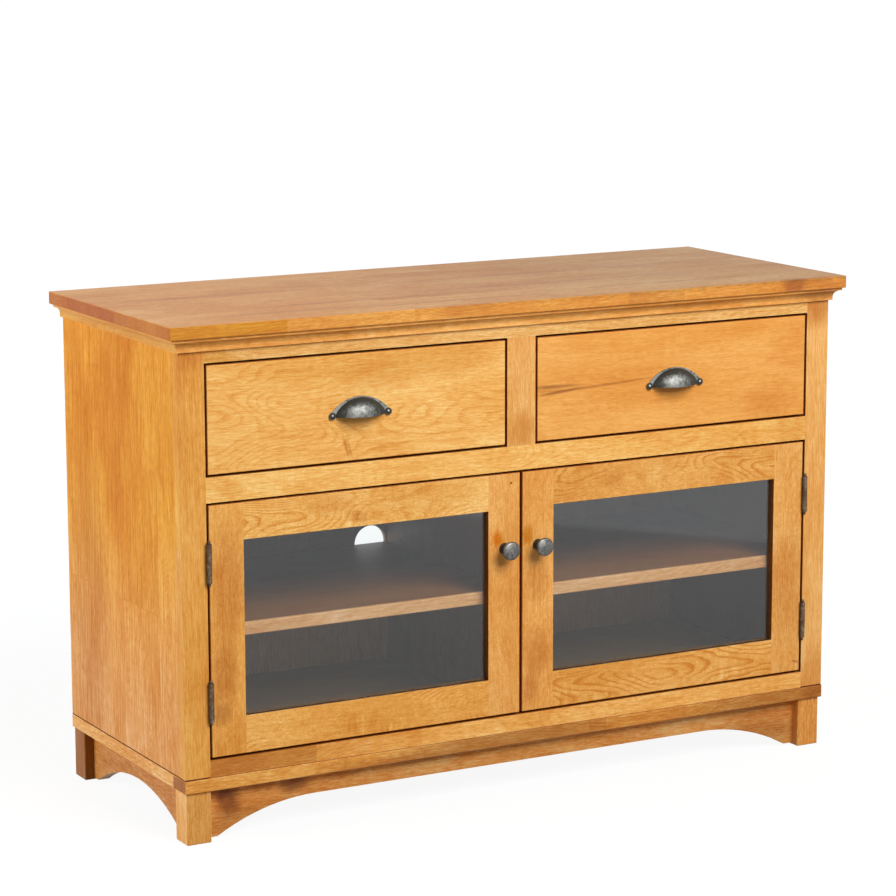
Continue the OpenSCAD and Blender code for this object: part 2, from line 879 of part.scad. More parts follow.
// Turned knob: foot, neck and a head with a rounded edge and a low dome
module door_knob(side) {
    edge_r = knob_edge / 2;
    face_r = knob_d / 2 - edge_r;
    head_z = knob_reach - knob_dome - knob_edge;
    dome_r = (pow(face_r, 2) + pow(knob_dome, 2)) / (2 * knob_dome);
    color(pewter) at_origin() hand(side)
        translate([knob_x, 0, door_zz[0] + knob_z]) rotate([90, 0, 0]) rotate_extrude() {
            square([foot_r, foot_t]);
            square([neck_r, head_z + edge_r]);
            translate([0, head_z]) square([face_r, knob_edge]);
            intersection() {
                translate([face_r, head_z + edge_r]) circle(edge_r);
                translate([0, head_z]) square([knob_d / 2, knob_edge]);
            }
            intersection() {
                translate([0, knob_reach - dome_r]) circle(dome_r);
                translate([0, head_z + edge_r]) square([face_r, knob_dome + edge_r]);
            }
        }
}

// Half of a butt hinge on the leaf plane x: its first knuckle is start, then every second
module hinge_half(x, start) {
    difference() {
        union() {
            board(x, [0, leaf_w], [-leaf_l / 2, leaf_l / 2]);
            for (k = [start : 2 : knuckles - 1]) {
                z = [k * knuckle_l - (leaf_l - knuckle_gap) / 2,
                    (k + 1) * knuckle_l - (leaf_l + knuckle_gap) / 2];
                board(x, [axis_y, 0], z);
                translate([axis_x, axis_y, z[0]]) cylinder(r = barrel_r, h = z[1] - z[0]);
            }
        }
        translate([axis_x, axis_y, -leaf_l / 2 - over])
            cylinder(r = hinge_pin_r + pin_clear, h = leaf_l + 2 * over);
    }
}

// Hinge pin with a ball on each end
module hinge_pin() {
    tip_z = leaf_l / 2 + tip_r;
    translate([axis_x, axis_y, 0]) {
        translate([0, 0, -tip_z]) cylinder(r = hinge_pin_r, h = 2 * tip_z);
        for (z = [-tip_z, tip_z]) translate([0, 0, z]) sphere(tip_r);
    }
}

module hinge_case_halves() {
    color(bronze) at_origin() for (side = [-1, 1], z = hinge_zs)
        hand(side) translate([0, 0, z]) {
            hinge_half([open_x - leaf_t, open_x], 0);
            hinge_pin();
        }
}

module door_hinge_halves(side) {
    color(bronze) at_origin() for (z = hinge_zs)
        hand(side) translate([0, 0, z])
            hinge_half([door_x[1], door_x[1] + leaf_t], 1);
}

module door_left_hinge_stile() { door_hinge_stile(-1); }
module door_left_meeting_stile() { door_meeting_stile(-1); }
module door_left_top_rail() { door_top_rail(-1); }
module door_left_bottom_rail() { door_bottom_rail(-1); }
module door_left_glass() { door_glass(-1); }
module door_left_stops() { door_stops(-1); }
module door_left_knob() { door_knob(-1); }
module door_left_hinge_halves() { door_hinge_halves(-1); }
module door_right_hinge_stile() { door_hinge_stile(1); }
module door_right_meeting_stile() { door_meeting_stile(1); }
module door_right_top_rail() { door_top_rail(1); }
module door_right_bottom_rail() { door_bottom_rail(1); }
module door_right_glass() { door_glass(1); }
module door_right_stops() { door_stops(1); }
module door_right_knob() { door_knob(1); }
module door_right_hinge_halves() { door_hinge_halves(1); }

top();
crown_front();
crown_left();
crown_right();
side_left();
side_right();
frame_stile_left();
frame_stile_right();
frame_top_rail();
frame_mid_rail();
frame_bottom_rail();
frame_mullion();
centre_partition();
drawer_divider();
dust_panel();
case_bottom();
back_panel();
shelf_left();
shelf_right();
shelf_pins();
base_rail_front();
base_rail_back();
base_rail_left();
base_rail_right();
leg_front_left();
leg_front_right();
leg_back_left();
leg_back_right();
apron_front();
apron_back();
apron_left();
apron_right();
drawer_runners();
hinge_case_halves();
drawer_left_front();
drawer_left_sides();
drawer_left_back();
drawer_left_bottom();
drawer_left_pull();
drawer_right_front();
drawer_right_sides();
drawer_right_back();
drawer_right_bottom();
drawer_right_pull();
door_left_hinge_stile();
door_left_meeting_stile();
door_left_top_rail();
door_left_bottom_rail();
door_left_glass();
door_left_stops();
door_left_knob();
door_left_hinge_halves();
door_right_hinge_stile();
door_right_meeting_stile();
door_right_top_rail();
door_right_bottom_rail();
door_right_glass();
door_right_stops();
door_right_knob();
door_right_hinge_halves();
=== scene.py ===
# %% [markdown]
# # A television stand in honey-stained alder
# The cabinet comes from CAD as sixty named pieces: boards, panes, and fittings by the
# set. This notebook dresses them. It gives every board its own piece of stained alder,
# gives the castings their rubbed pewter, adds the screws and brads that hold it all
# together, and lights it as a product is lit in a studio.

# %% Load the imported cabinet
import math

import bmesh
import bpy
from mathutils import Matrix, Vector


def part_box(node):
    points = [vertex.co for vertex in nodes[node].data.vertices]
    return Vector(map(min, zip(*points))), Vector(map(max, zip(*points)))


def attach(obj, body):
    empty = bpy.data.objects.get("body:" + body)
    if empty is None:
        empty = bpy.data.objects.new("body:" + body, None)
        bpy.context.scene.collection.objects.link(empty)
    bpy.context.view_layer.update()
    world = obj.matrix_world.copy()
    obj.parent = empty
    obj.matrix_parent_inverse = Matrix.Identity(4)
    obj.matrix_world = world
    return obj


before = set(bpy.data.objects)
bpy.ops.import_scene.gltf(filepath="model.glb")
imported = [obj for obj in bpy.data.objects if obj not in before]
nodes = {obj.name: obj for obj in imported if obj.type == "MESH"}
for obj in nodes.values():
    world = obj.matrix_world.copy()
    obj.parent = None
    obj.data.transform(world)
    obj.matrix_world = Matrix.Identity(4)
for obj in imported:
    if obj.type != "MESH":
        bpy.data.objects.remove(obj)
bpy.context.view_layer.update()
print("boards and fittings from CAD:", len(nodes))

# %% [markdown]
# Colours are easiest to pick as hex values on the screen, but shaders add
# light in linear steps. One function turns the first into the second. A second one
# adds a node with its settings and its links, so that a recipe reads from top to
# bottom in the order in which the pattern is made.

# %% Helpers for colours and nodes
def linear(hex_colour):
    """A screen colour such as 'eeb15e' as the linear colour that shaders use."""
    steps = [int(hex_colour[i:i + 2], 16) / 255 for i in (0, 2, 4)]
    curve = [s / 12.92 if s <= 0.04045 else ((s + 0.055) / 1.055) ** 2.4 for s in steps]
    return (*curve, 1.0)


def put(tree, kind, wires=None, **settings):
    """Adds one node. Settings are its own, and wires are what its inputs get.

    That is a value, a socket, or a node, which stands for its first output.
    """
    made = tree.nodes.new("ShaderNode" + kind)
    for name, value in settings.items():
        setattr(made, name, value)
    for name, value in (wires or {}).items():
        if isinstance(value, bpy.types.Node):
            value = value.outputs[0]
        if isinstance(value, bpy.types.NodeSocket):
            tree.links.new(value, made.inputs[name])
        else:
            made.inputs[name].default_value = value
    return made


def new_finish(name):
    """An empty material and its node tree."""
    finish = bpy.data.materials.new(name)
    finish.use_nodes = True
    finish.node_tree.nodes.clear()
    return finish, finish.node_tree


print("honey as linear light:", [round(c, 3) for c in linear("eeb15e")[:3]])

# %% [markdown]
# The camera stands to the front left, a little above the top of the cabinet, with a
# long lens that keeps the uprights nearly parallel. Its place is known from the
# cabinet's own straight edges, so the view needs no shift.

# %% Camera
camera_data = bpy.data.cameras.new("studio_camera")
camera_data.lens = 125.53
camera_data.sensor_width = 36
camera_data.clip_end = 200
camera = bpy.data.objects.new("studio_camera", camera_data)
bpy.context.scene.collection.objects.link(camera)
camera.location = (-2.4443, -4.3932, 1.4543)
towards = Vector((0.4760, 0.8606, -0.1810))
roll = Matrix.Rotation(math.radians(-0.13), 3, "Z")
camera.rotation_euler = (towards.to_track_quat("-Z", "Y").to_matrix() @ roll).to_euler()
bpy.context.scene.camera = camera

# %% [markdown]
# The room is plain: a pale floor and an even surround. What the lens, the glass and
# the metal see of it is white. The floor near the cabinet keeps a faint shadow, and
# further off it fades into the white, so no horizon shows. What lights the wood is
# much calmer, so that undersides and gaps stay deep. Two metres off, to the front
# right, a white sheet lies on the floor. The lens sees only white there, but the
# sheet's straight edge is mirrored in the right pane, as it is in the real one.

# %% Room
WHITE = linear("ffffff")
FADE = (0.9, 2.2)  # metres from the middle, over which the floor turns white
SHEET_WAY = (0.790, -0.613, 0)  # the way to the white sheet
SHEET_EDGE = (2.07, 2.13)  # metres that way, over which the sheet begins
FLOOR_REACH = 45  # metres each way
NEAR_GLOW, LESS_MIRRORED = 0.92, -0.15  # of the floor near by, and its change in gloss
FAR_GLOW, SHEET_MORE = 1.05, 0.34  # of the white further off, and what the sheet adds

scene = bpy.context.scene
scene.view_settings.view_transform = "Standard"


def seen_directly(tree):
    """1 for what the lens, gloss and glass see, and 0 for the light that falls on things."""
    ray = put(tree, "LightPath")
    seen = ray.outputs["Is Camera Ray"]
    for kind in ("Is Glossy Ray", "Is Transmission Ray"):
        seen = put(tree, "Math", {0: seen, 1: ray.outputs[kind]}, operation="MAXIMUM")
    return seen


world = bpy.data.worlds.new("white_surround")
scene.world = world
world.use_nodes = True
sky = world.node_tree
sky.nodes.clear()
fill = put(sky, "Background", {"Color": WHITE, "Strength": 0.16})
plain = put(sky, "Background", {"Color": WHITE, "Strength": 1.0})
both = put(sky, "MixShader", {0: seen_directly(sky), 1: fill, 2: plain})
put(sky, "OutputWorld", {"Surface": both})

floor_finish, tree = new_finish("pale_studio_floor")
bounce = put(tree, "BsdfDiffuse", {"Color": linear("96938e")})
shade = put(tree, "BsdfDiffuse", {"Color": linear("595959")})
mirrored = put(tree, "LightPath").outputs["Is Glossy Ray"]
glow = put(tree, "Math", {0: mirrored, 1: LESS_MIRRORED, 2: NEAR_GLOW},
           operation="MULTIPLY_ADD")
glow = put(tree, "Emission", {"Color": WHITE, "Strength": glow})
near = put(tree, "AddShader", {0: shade, 1: glow})
place = put(tree, "TexCoord").outputs["Object"]
right = put(tree, "VectorMath", {0: place, 1: SHEET_WAY}, operation="DOT_PRODUCT")
sheet = put(tree, "MapRange", {"Value": right.outputs["Value"], "From Min": SHEET_EDGE[0],
                               "From Max": SHEET_EDGE[1]})
bright = put(tree, "Math", {0: sheet, 1: SHEET_MORE, 2: FAR_GLOW}, operation="MULTIPLY_ADD")
white = put(tree, "Emission", {"Color": linear("fbfcff"), "Strength": bright})
away = put(tree, "VectorMath", {0: place}, operation="LENGTH").outputs["Value"]
fade = put(tree, "MapRange", {"Value": away, "From Min": FADE[0], "From Max": FADE[1]},
           interpolation_type="SMOOTHSTEP")
shown = put(tree, "MixShader", {0: fade, 1: near, 2: white})
both = put(tree, "MixShader", {0: seen_directly(tree), 1: bounce, 2: shown})
put(tree, "OutputMaterial", {"Surface": both})

ground = bmesh.new()
bmesh.ops.create_grid(ground, x_segments=1, y_segments=1, size=FLOOR_REACH)
floor_mesh = bpy.data.meshes.new("studio_floor")
ground.to_mesh(floor_mesh)
ground.free()
floor_mesh.materials.append(floor_finish)
floor = bpy.data.objects.new("studio_floor", floor_mesh)
scene.collection.objects.link(floor)
print("floor in m:", 2 * FLOOR_REACH, "by", 2 * FLOOR_REACH)

# %% [markdown]
# Three soft boxes light the cabinet. The large one hangs in front, a little to the
# right and 38 degrees up: the shadows under the cup pulls tell where it was. The
# second one stands to the left and a little behind the front plane, so that it lights
# the side and stays out of the gaps round the doors and drawers. A low one behind the
# right back corner does the same for the back and only grazes the top. Both low ones
# are kept out of the lacquer's gloss, where they would show as a glare on the top, and
# the back one is hidden from the lens as well.

# %% Lamps
LAMP_DISTANCE = 5.0  # metres
LAMP_AIM = Vector((0, 0, 0.4))


def soft_box(name, bearing, height_angle, width, height, watts):
    """A flat lamp aimed at the cabinet. A bearing of 0 is straight in front."""
    lamp_data = bpy.data.lights.new(name, "AREA")
    lamp_data.shape = "RECTANGLE"
    lamp_data.size, lamp_data.size_y = width, height
    lamp_data.energy = watts
    lamp = bpy.data.objects.new(name, lamp_data)
    scene.collection.objects.link(lamp)
    b, h = math.radians(bearing), math.radians(height_angle)
    away = Vector((math.sin(b) * math.cos(h), -math.cos(b) * math.cos(h), math.sin(h)))
    lamp.location = LAMP_AIM + away * LAMP_DISTANCE
    lamp.rotation_euler = (-away).to_track_quat("-Z", "Y").to_euler()
    return lamp


soft_box("key_soft_box", 11, 38, 2.8, 2.6, 232)
low_left = soft_box("left_soft_box", -104, 14, 2.4, 1.6, 152)
low_left.visible_glossy = False
low_back = soft_box("back_soft_box", 152, 8, 2.8, 1.6, 110)
low_back.visible_camera = False
low_back.visible_glossy = False

# %% [markdown]
# A stain is a filter. Where more of it soaks in, it holds back a little more red, over
# twice as much green and nearly five times as much blue, so deep places are not only
# darker but redder. One colour per board is therefore enough: the run from deep to pale
# follows from it by that law, and every board keeps the same family likeness.

# %% Stain
HELD_BACK = (0.11, 0.25, 0.52)  # of red, green and blue, for one step deeper
DEPTH = 2.2  # steps from a board's own colour to either end of its run


def stain_run(hex_colour):
    """Five colours from deep to pale about one stain colour."""
    run = []
    for stop in (0.0, 0.25, 0.5, 0.75, 1.0):
        soaked = (0.5 - stop) * 2 * DEPTH
        tones = [min(1, c * math.exp(-k * soaked)) for c, k in zip(linear(hex_colour), HELD_BACK)]
        run.append((stop, (*tones, 1)))
    return run


print("deep honey:", [round(c, 3) for c in stain_run("eeb15e")[0][1][:3]])

# %% [markdown]
# Alder is a calm wood: fine short fibres, faint growth rings and, under stain, soft
# clouds where it drinks unevenly. A photograph would do for one board, but a solid
# pattern also runs right round the edges and ends. So the recipe starts as the tree
# did: rings about a pith that lies behind the board, cut at a slight slope, which
# draws long arches on the face. Along the grain everything is stretched.

# %% Alder figure, shared by every board
figure = bpy.data.node_groups.new("alder_figure", "ShaderNodeTree")
figure.interface.new_socket("Vector", in_out="INPUT", socket_type="NodeSocketVector")
for label in ("Arches", "Curl", "Clouds", "Blotches", "Fibres", "Specks", "Lines"):
    socket = figure.interface.new_socket(label, in_out="INPUT", socket_type="NodeSocketFloat")
    socket.default_value = 1.0
for label in ("Shade", "Height"):
    figure.interface.new_socket(label, in_out="OUTPUT", socket_type="NodeSocketFloat")
given = figure.nodes.new("NodeGroupInput").outputs


def stretched_noise(scale, offset=(0, 0, 0), turn=0, **more):
    """Noise on the board's own grid, with its features per metre along, across and in."""
    grid = put(figure, "Mapping", {"Vector": given["Vector"], "Scale": scale,
                                   "Location": offset, "Rotation": (0, 0, math.radians(turn))})
    return put(figure, "TexNoise", {"Vector": grid, "Scale": 1.0, "Detail": 2.0} | more)


def swinging_noise(*grid, **more):
    """The same noise, swinging about zero."""
    return put(figure, "Math", {0: stretched_noise(*grid, **more), 1: 0.5}, operation="SUBTRACT")


# growth rings 5 mm apart: a thin dark line of late wood. The trunk swelled and leaned
# as it grew, so a flat cut meets the rings in arches and ovals, in patches only
swell = swinging_noise((3.6, 10, 10), (6.2, 3.3, 1.1), Detail=1.0)
swell = put(figure, "Math", {0: swell, 1: 0.15}, operation="MULTIPLY")
swell = put(figure, "CombineXYZ", {"Z": swell})
trunk = put(figure, "VectorMath", {0: given["Vector"], 1: swell}, operation="ADD")
trunk = put(figure, "Mapping", {"Vector": trunk, "Scale": (0.3, 1, 1)})
rings = put(figure, "TexWave", {"Vector": trunk, "Scale": 63, "Distortion": 2.6, "Detail": 3.0,
                                "Detail Scale": 1.4, "Detail Roughness": 0.6},
            wave_type="RINGS", rings_direction="X", wave_profile="SAW").outputs["Fac"]
rings = put(figure, "MapRange", {"Value": rings, "From Min": 0.5, "From Max": 1.0},
            interpolation_type="SMOOTHSTEP")
patches = stretched_noise((2.6, 9, 9), (4.4, 0, 1.0))
patches = put(figure, "MapRange", {"Value": patches, "From Min": 0.42, "From Max": 0.56},
              interpolation_type="SMOOTHSTEP")
rings = put(figure, "Math", {0: rings, 1: patches}, operation="MULTIPLY")
arches = put(figure, "Math", {0: rings, 1: given["Arches"]}, operation="MULTIPLY")

# fibres 2, 4 and 9 mm wide; the real ones are finer and wouldn't show from here
fine = stretched_noise((70, 620, 620))
middling = swinging_noise((22, 270, 270), (2.7, 6.1, 3.9))
broad = swinging_noise((6, 110, 110), (5.1, 2.2, 9.3))
fibres = put(figure, "Math", {0: fine, 1: 0.5}, operation="SUBTRACT")
fibres = put(figure, "Math", {0: fibres, 1: 1.3}, operation="MULTIPLY")
fibres = put(figure, "Math", {0: middling, 1: 0.35, 2: fibres}, operation="MULTIPLY_ADD")

# long thin lines of denser wood, 2 by 110 mm
lines = swinging_noise((9, 500, 500), (9.2, 4.1, 7.7))
lines = put(figure, "Math", {0: lines, 1: 0.85}, operation="MULTIPLY")

# specks 2 mm wide and flecks of 7 mm, where the face cuts the fibres at a slant
specks = swinging_noise((340, 560, 560), (3.8, 4.6, 2.2), Detail=1.0)
specks = put(figure, "Math", {0: specks, 1: 0.45}, operation="MULTIPLY")
flecks = swinging_noise((95, 150, 150), (8.8, 0.6, 1.2), Detail=3.0)
specks = put(figure, "Math", {0: flecks, 1: 0.25, 2: specks}, operation="MULTIPLY_ADD")

# short dashes of pores, drawn 2 by 13 mm because the real ones wouldn't show either
pores = stretched_noise((75, 520, 520), (7.3, 1.9, 4.4))
pores = put(figure, "MapRange", {"Value": pores, "From Min": 0.55, "From Max": 0.75},
            interpolation_type="SMOOTHSTEP")

# clouds where the stain soaked in unevenly, a hand's width across
clouds = swinging_noise((4.2, 10, 10), (3.1, 8.2, 0.7), Distortion=0.5)
clouds = put(figure, "Math", {0: clouds, 1: given["Clouds"]}, operation="MULTIPLY")

# blotches: the same on end-grain patches, some 40 mm across with ragged sides
blotches = swinging_noise((15, 27, 27), (0.4, 6.6, 2.5), Detail=4.0, Roughness=0.6, Distortion=0.8)
blotches = put(figure, "Math", {0: blotches, 1: given["Blotches"]}, operation="MULTIPLY")

# curl: slanting ripples 12 mm apart, where the fibres weave; patches only
ripples = swinging_noise((85, 16, 16), (1.7, 5.5, 9.1), 32, Distortion=0.6)
patches = stretched_noise((6, 12, 12), (8.7, 1.5, 3.1))
patches = put(figure, "MapRange", {"Value": patches, "From Min": 0.48, "From Max": 0.66},
              interpolation_type="SMOOTHSTEP")
curl = put(figure, "Math", {0: ripples, 1: patches}, operation="MULTIPLY")
curl = put(figure, "Math", {0: curl, 1: given["Curl"]}, operation="MULTIPLY")

# one shade from them all: 0 is the deepest stain and 1 the palest
shade = 0.5
for part, weight in (
        (clouds, 0.85), (blotches, 0.9), (curl, 0.8), (arches, -0.24), (fibres, given["Fibres"]),
        (specks, given["Specks"]), (lines, given["Lines"]), (broad, 0.25), (pores, -0.12)):
    shade = put(figure, "Math", {0: part, 1: weight, 2: shade}, operation="MULTIPLY_ADD")
relief = put(figure, "Math", {0: pores, 1: -0.6, 2: fine}, operation="MULTIPLY_ADD")
taken = figure.nodes.new("NodeGroupOutput")
figure.links.new(shade.outputs[0], taken.inputs["Shade"])
figure.links.new(relief.outputs[0], taken.inputs["Height"])
print("steps in the alder recipe:", len(figure.nodes))

# %% [markdown]
# Marks make a board recognisable: a mineral streak, a small knot, a deeper patch. Each
# is a soft ball in space that tints the stain, with its edge roughened by noise. A zone
# is a box with sharp limits instead, for a tint that ends at an edge or at a joint. An
# image could hold both, but these stay in the cabinet's own millimetres, so that each
# lies where it was found, and they run on round the edges of the board.

# %% Marks and zones on a board
WANDER = 0.016  # metres, how far the edge of a mark strays
BENDS = 70.0  # per metre, in that edge
SHARP_MM = 5  # a mark that reaches no further keeps its edge


def add_marks(tree, colour, marks):
    """Tints a colour with marks of (centre, reach, slope, tint, strength), in mm and degrees."""
    where = put(tree, "TexCoord").outputs["Object"]
    ragged = put(tree, "TexNoise", {"Vector": where, "Scale": BENDS, "Detail": 3.0})
    ragged = put(tree, "VectorMath", {0: ragged.outputs["Color"], 1: (0.5, 0.5, 0.5)},
                 operation="SUBTRACT")
    moved = put(tree, "VectorMath", {0: ragged, 1: (WANDER, WANDER, WANDER), 2: where},
                operation="MULTIPLY_ADD")
    for centre, reach, slope, tint, strength in marks:
        near = put(tree, "Mapping", {
            "Vector": moved if min(reach) > SHARP_MM else where,
            "Location": Vector(centre) / 1000,
            "Rotation": (0, -math.radians(slope), 0),
            "Scale": Vector(reach) / 1000,
        }, vector_type="TEXTURE")
        ball = put(tree, "TexGradient", {"Vector": near}, gradient_type="SPHERICAL").outputs["Fac"]
        soft = put(tree, "MapRange", {"Value": ball, "From Max": 0.75, "To Max": strength},
                   interpolation_type="SMOOTHSTEP")
        colour = put(tree, "Mix", {0: soft, 6: colour, 7: linear(tint)},
                     data_type="RGBA", blend_type="MULTIPLY").outputs[2]
    return colour


def add_zones(tree, colour, zones):
    """Tints a colour inside boxes of (x range, y range, z range, tint), in mm. None is no limit."""
    place = put(tree, "SeparateXYZ", {0: put(tree, "TexCoord").outputs["Object"]})
    for *ranges, tint in zones:
        inside = 1.0
        for axis, limits in zip("XYZ", ranges):
            if limits:
                middle, half = sum(limits) / 2000, (limits[1] - limits[0]) / 2000
                here = put(tree, "Math", {0: place.outputs[axis], 1: middle, 2: half},
                           operation="COMPARE")
                inside = put(tree, "Math", {0: here, 1: inside}, operation="MULTIPLY")
        colour = put(tree, "Mix", {0: inside, 6: colour, 7: linear(tint)},
                     data_type="RGBA", blend_type="MULTIPLY").outputs[2]
    return colour


print("the edge of a mark strays, in mm:", 1000 * WANDER)

# %% [markdown]
# Now the whole board. `grain` names the way its fibres run and the way its broad face
# looks, `stain` is its colour, and `pith` says how far to the side and how far behind
# the face the heart of the tree lay. The pattern is laid on the board's own axes,
# tilted a little as a saw tilts, and moved by a seed to another part of the tree. A
# board glued up from staves takes each from a part of its own. The ends drink more
# stain than the faces. The lacquer is satin: a little shinier where the wood is pale.

# %% Board finish
ALONG = {  # the axes along the grain, across it and out of the face
    "x_front": "XZY", "z_front": "ZXY", "z_side": "ZYX", "y_side": "YZX", "x_top": "XYZ",
}
END_GRAIN = "e4d8d4"
END_DEPTH = 0.0004  # metres, how much of a board counts as its end
SEED_STEP = 3.7  # metres along the tree, for a seed that is one higher
SIDEWAYS = 0.6  # how much of its slope a board also leans to the side
STAVE_STEP = (0.7, 0.05, 0.3)  # metres in the tree from one stave to another
SEAM = -0.22  # steps of shade: how much deeper the glue line between two staves is


def board_finish(name, grain, stain, seed, marks, zones, pith=(0.03, 0.09), slope=2.2,
                 arches=0.6, curl=0.4, clouds=1.0, blotches=0.35, fibres=1.0, specks=None,
                 lines=None, gloss=0.3, staves=None):
    """One board's stained and lacquered alder.

    Specks and lines are as strong as the fibres unless given. Staves are their length and
    width, the contrast in shade between them, their shift and their seam. Lengths here and
    in pith are in metres.
    """
    finish, tree = new_finish("stained_alder_" + name)
    low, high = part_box(name)
    axes = ALONG[grain]
    centre = Vector([((low + high) / 2)["XYZ".index(a)] for a in axes])
    place = put(tree, "SeparateXYZ", {0: put(tree, "TexCoord").outputs["Object"]})
    turned = put(tree, "CombineXYZ", {i: place.outputs[a] for i, a in enumerate(axes)})
    middle = put(tree, "Mapping", {"Vector": turned, "Location": tuple(-centre)})
    tilt = (0, math.radians(slope), math.radians(slope * SIDEWAYS))
    cut = put(tree, "Mapping", {"Vector": middle, "Location": (seed * SEED_STEP, *pith),
                                "Rotation": tilt})
    if staves:
        length, width, contrast, shift, seam = staves
        bricks = put(tree, "Mapping", {"Vector": middle, "Location": (*shift, 0)})
        bricks = put(tree, "TexBrick", {
            "Vector": bricks, "Color1": (0, 0, 0, 1), "Color2": (1, 1, 1, 1), "Scale": 1.0,
            "Mortar Size": seam, "Mortar Smooth": 0.6, "Brick Width": length, "Row Height": width,
        }, offset=0.37)
        cut = put(tree, "VectorMath", {0: bricks.outputs["Color"], 1: STAVE_STEP, 2: cut},
                  operation="MULTIPLY_ADD")
    grown = put(tree, "Group", {
        "Vector": cut, "Arches": arches, "Curl": curl, "Clouds": clouds, "Blotches": blotches,
        "Fibres": fibres, "Specks": fibres if specks is None else specks,
        "Lines": fibres if lines is None else lines,
    }, node_tree=figure)
    tone = grown.outputs["Shade"]
    if staves:
        tone = put(tree, "Math", {0: bricks.outputs["Color"], 1: contrast, 2: tone},
                   operation="MULTIPLY_ADD")
        tone = put(tree, "Math", {0: bricks.outputs["Fac"], 1: SEAM, 2: tone},
                   operation="MULTIPLY_ADD")
        tone = put(tree, "Math", {0: tone, 1: contrast / 2}, operation="SUBTRACT")
    along = put(tree, "SeparateXYZ", {0: middle}).outputs["X"]
    along = put(tree, "Math", {0: along}, operation="ABSOLUTE")
    half = (high - low)["XYZ".index(axes[0])] / 2
    end = put(tree, "Math", {0: along, 1: half - END_DEPTH}, operation="GREATER_THAN")
    ramp = put(tree, "ValToRGB", {"Fac": tone})
    for stop, (at, colour) in enumerate(stain_run(stain)):
        if stop > 1:
            ramp.color_ramp.elements.new(at)
        ramp.color_ramp.elements[stop].position = at
        ramp.color_ramp.elements[stop].color = colour
    colour = put(tree, "Mix", {0: end, 6: ramp, 7: linear(END_GRAIN)},
                 data_type="RGBA", blend_type="MULTIPLY").outputs[2]
    colour = add_zones(tree, add_marks(tree, colour, marks), zones)
    dents = put(tree, "Bump", {"Height": grown.outputs["Height"], "Strength": 0.10,
                               "Distance": 0.0005})
    sheen = put(tree, "MapRange", {"Value": grown.outputs["Shade"], "From Min": 0.2,
                                   "From Max": 0.9, "To Min": 0.5, "To Max": 0.42})
    wood = put(tree, "BsdfPrincipled", {"Base Color": colour, "Roughness": sheen, "IOR": 1.45,
                                        "Specular IOR Level": gloss, "Normal": dents})
    put(tree, "OutputMaterial", {"Surface": wood})
    return finish


def dress(name, finish):
    """Gives a CAD node one finish."""
    nodes[name].data.materials.clear()
    nodes[name].data.materials.append(finish)


print("ways to cut a board:", len(ALONG))

# %% [markdown]
# The marks come first. They were found on the real boards: a branching mineral
# streak on the right drawer, a dark nick under the left pull, a pinhole, deeper
# patches on the front apron, and warm spots beside the knobs.

# %% Marks on single boards
# mm, each within half a millimetre of a face: the fronts of the frame, doors and drawers,
# of the base rail, of the apron and of the top, then the left side and the upper face
FACE_Y, BASE_Y, APRON_Y, EDGE_Y = -212, -214, -194, -233
SIDE_X, TOP_Z = -588, 800
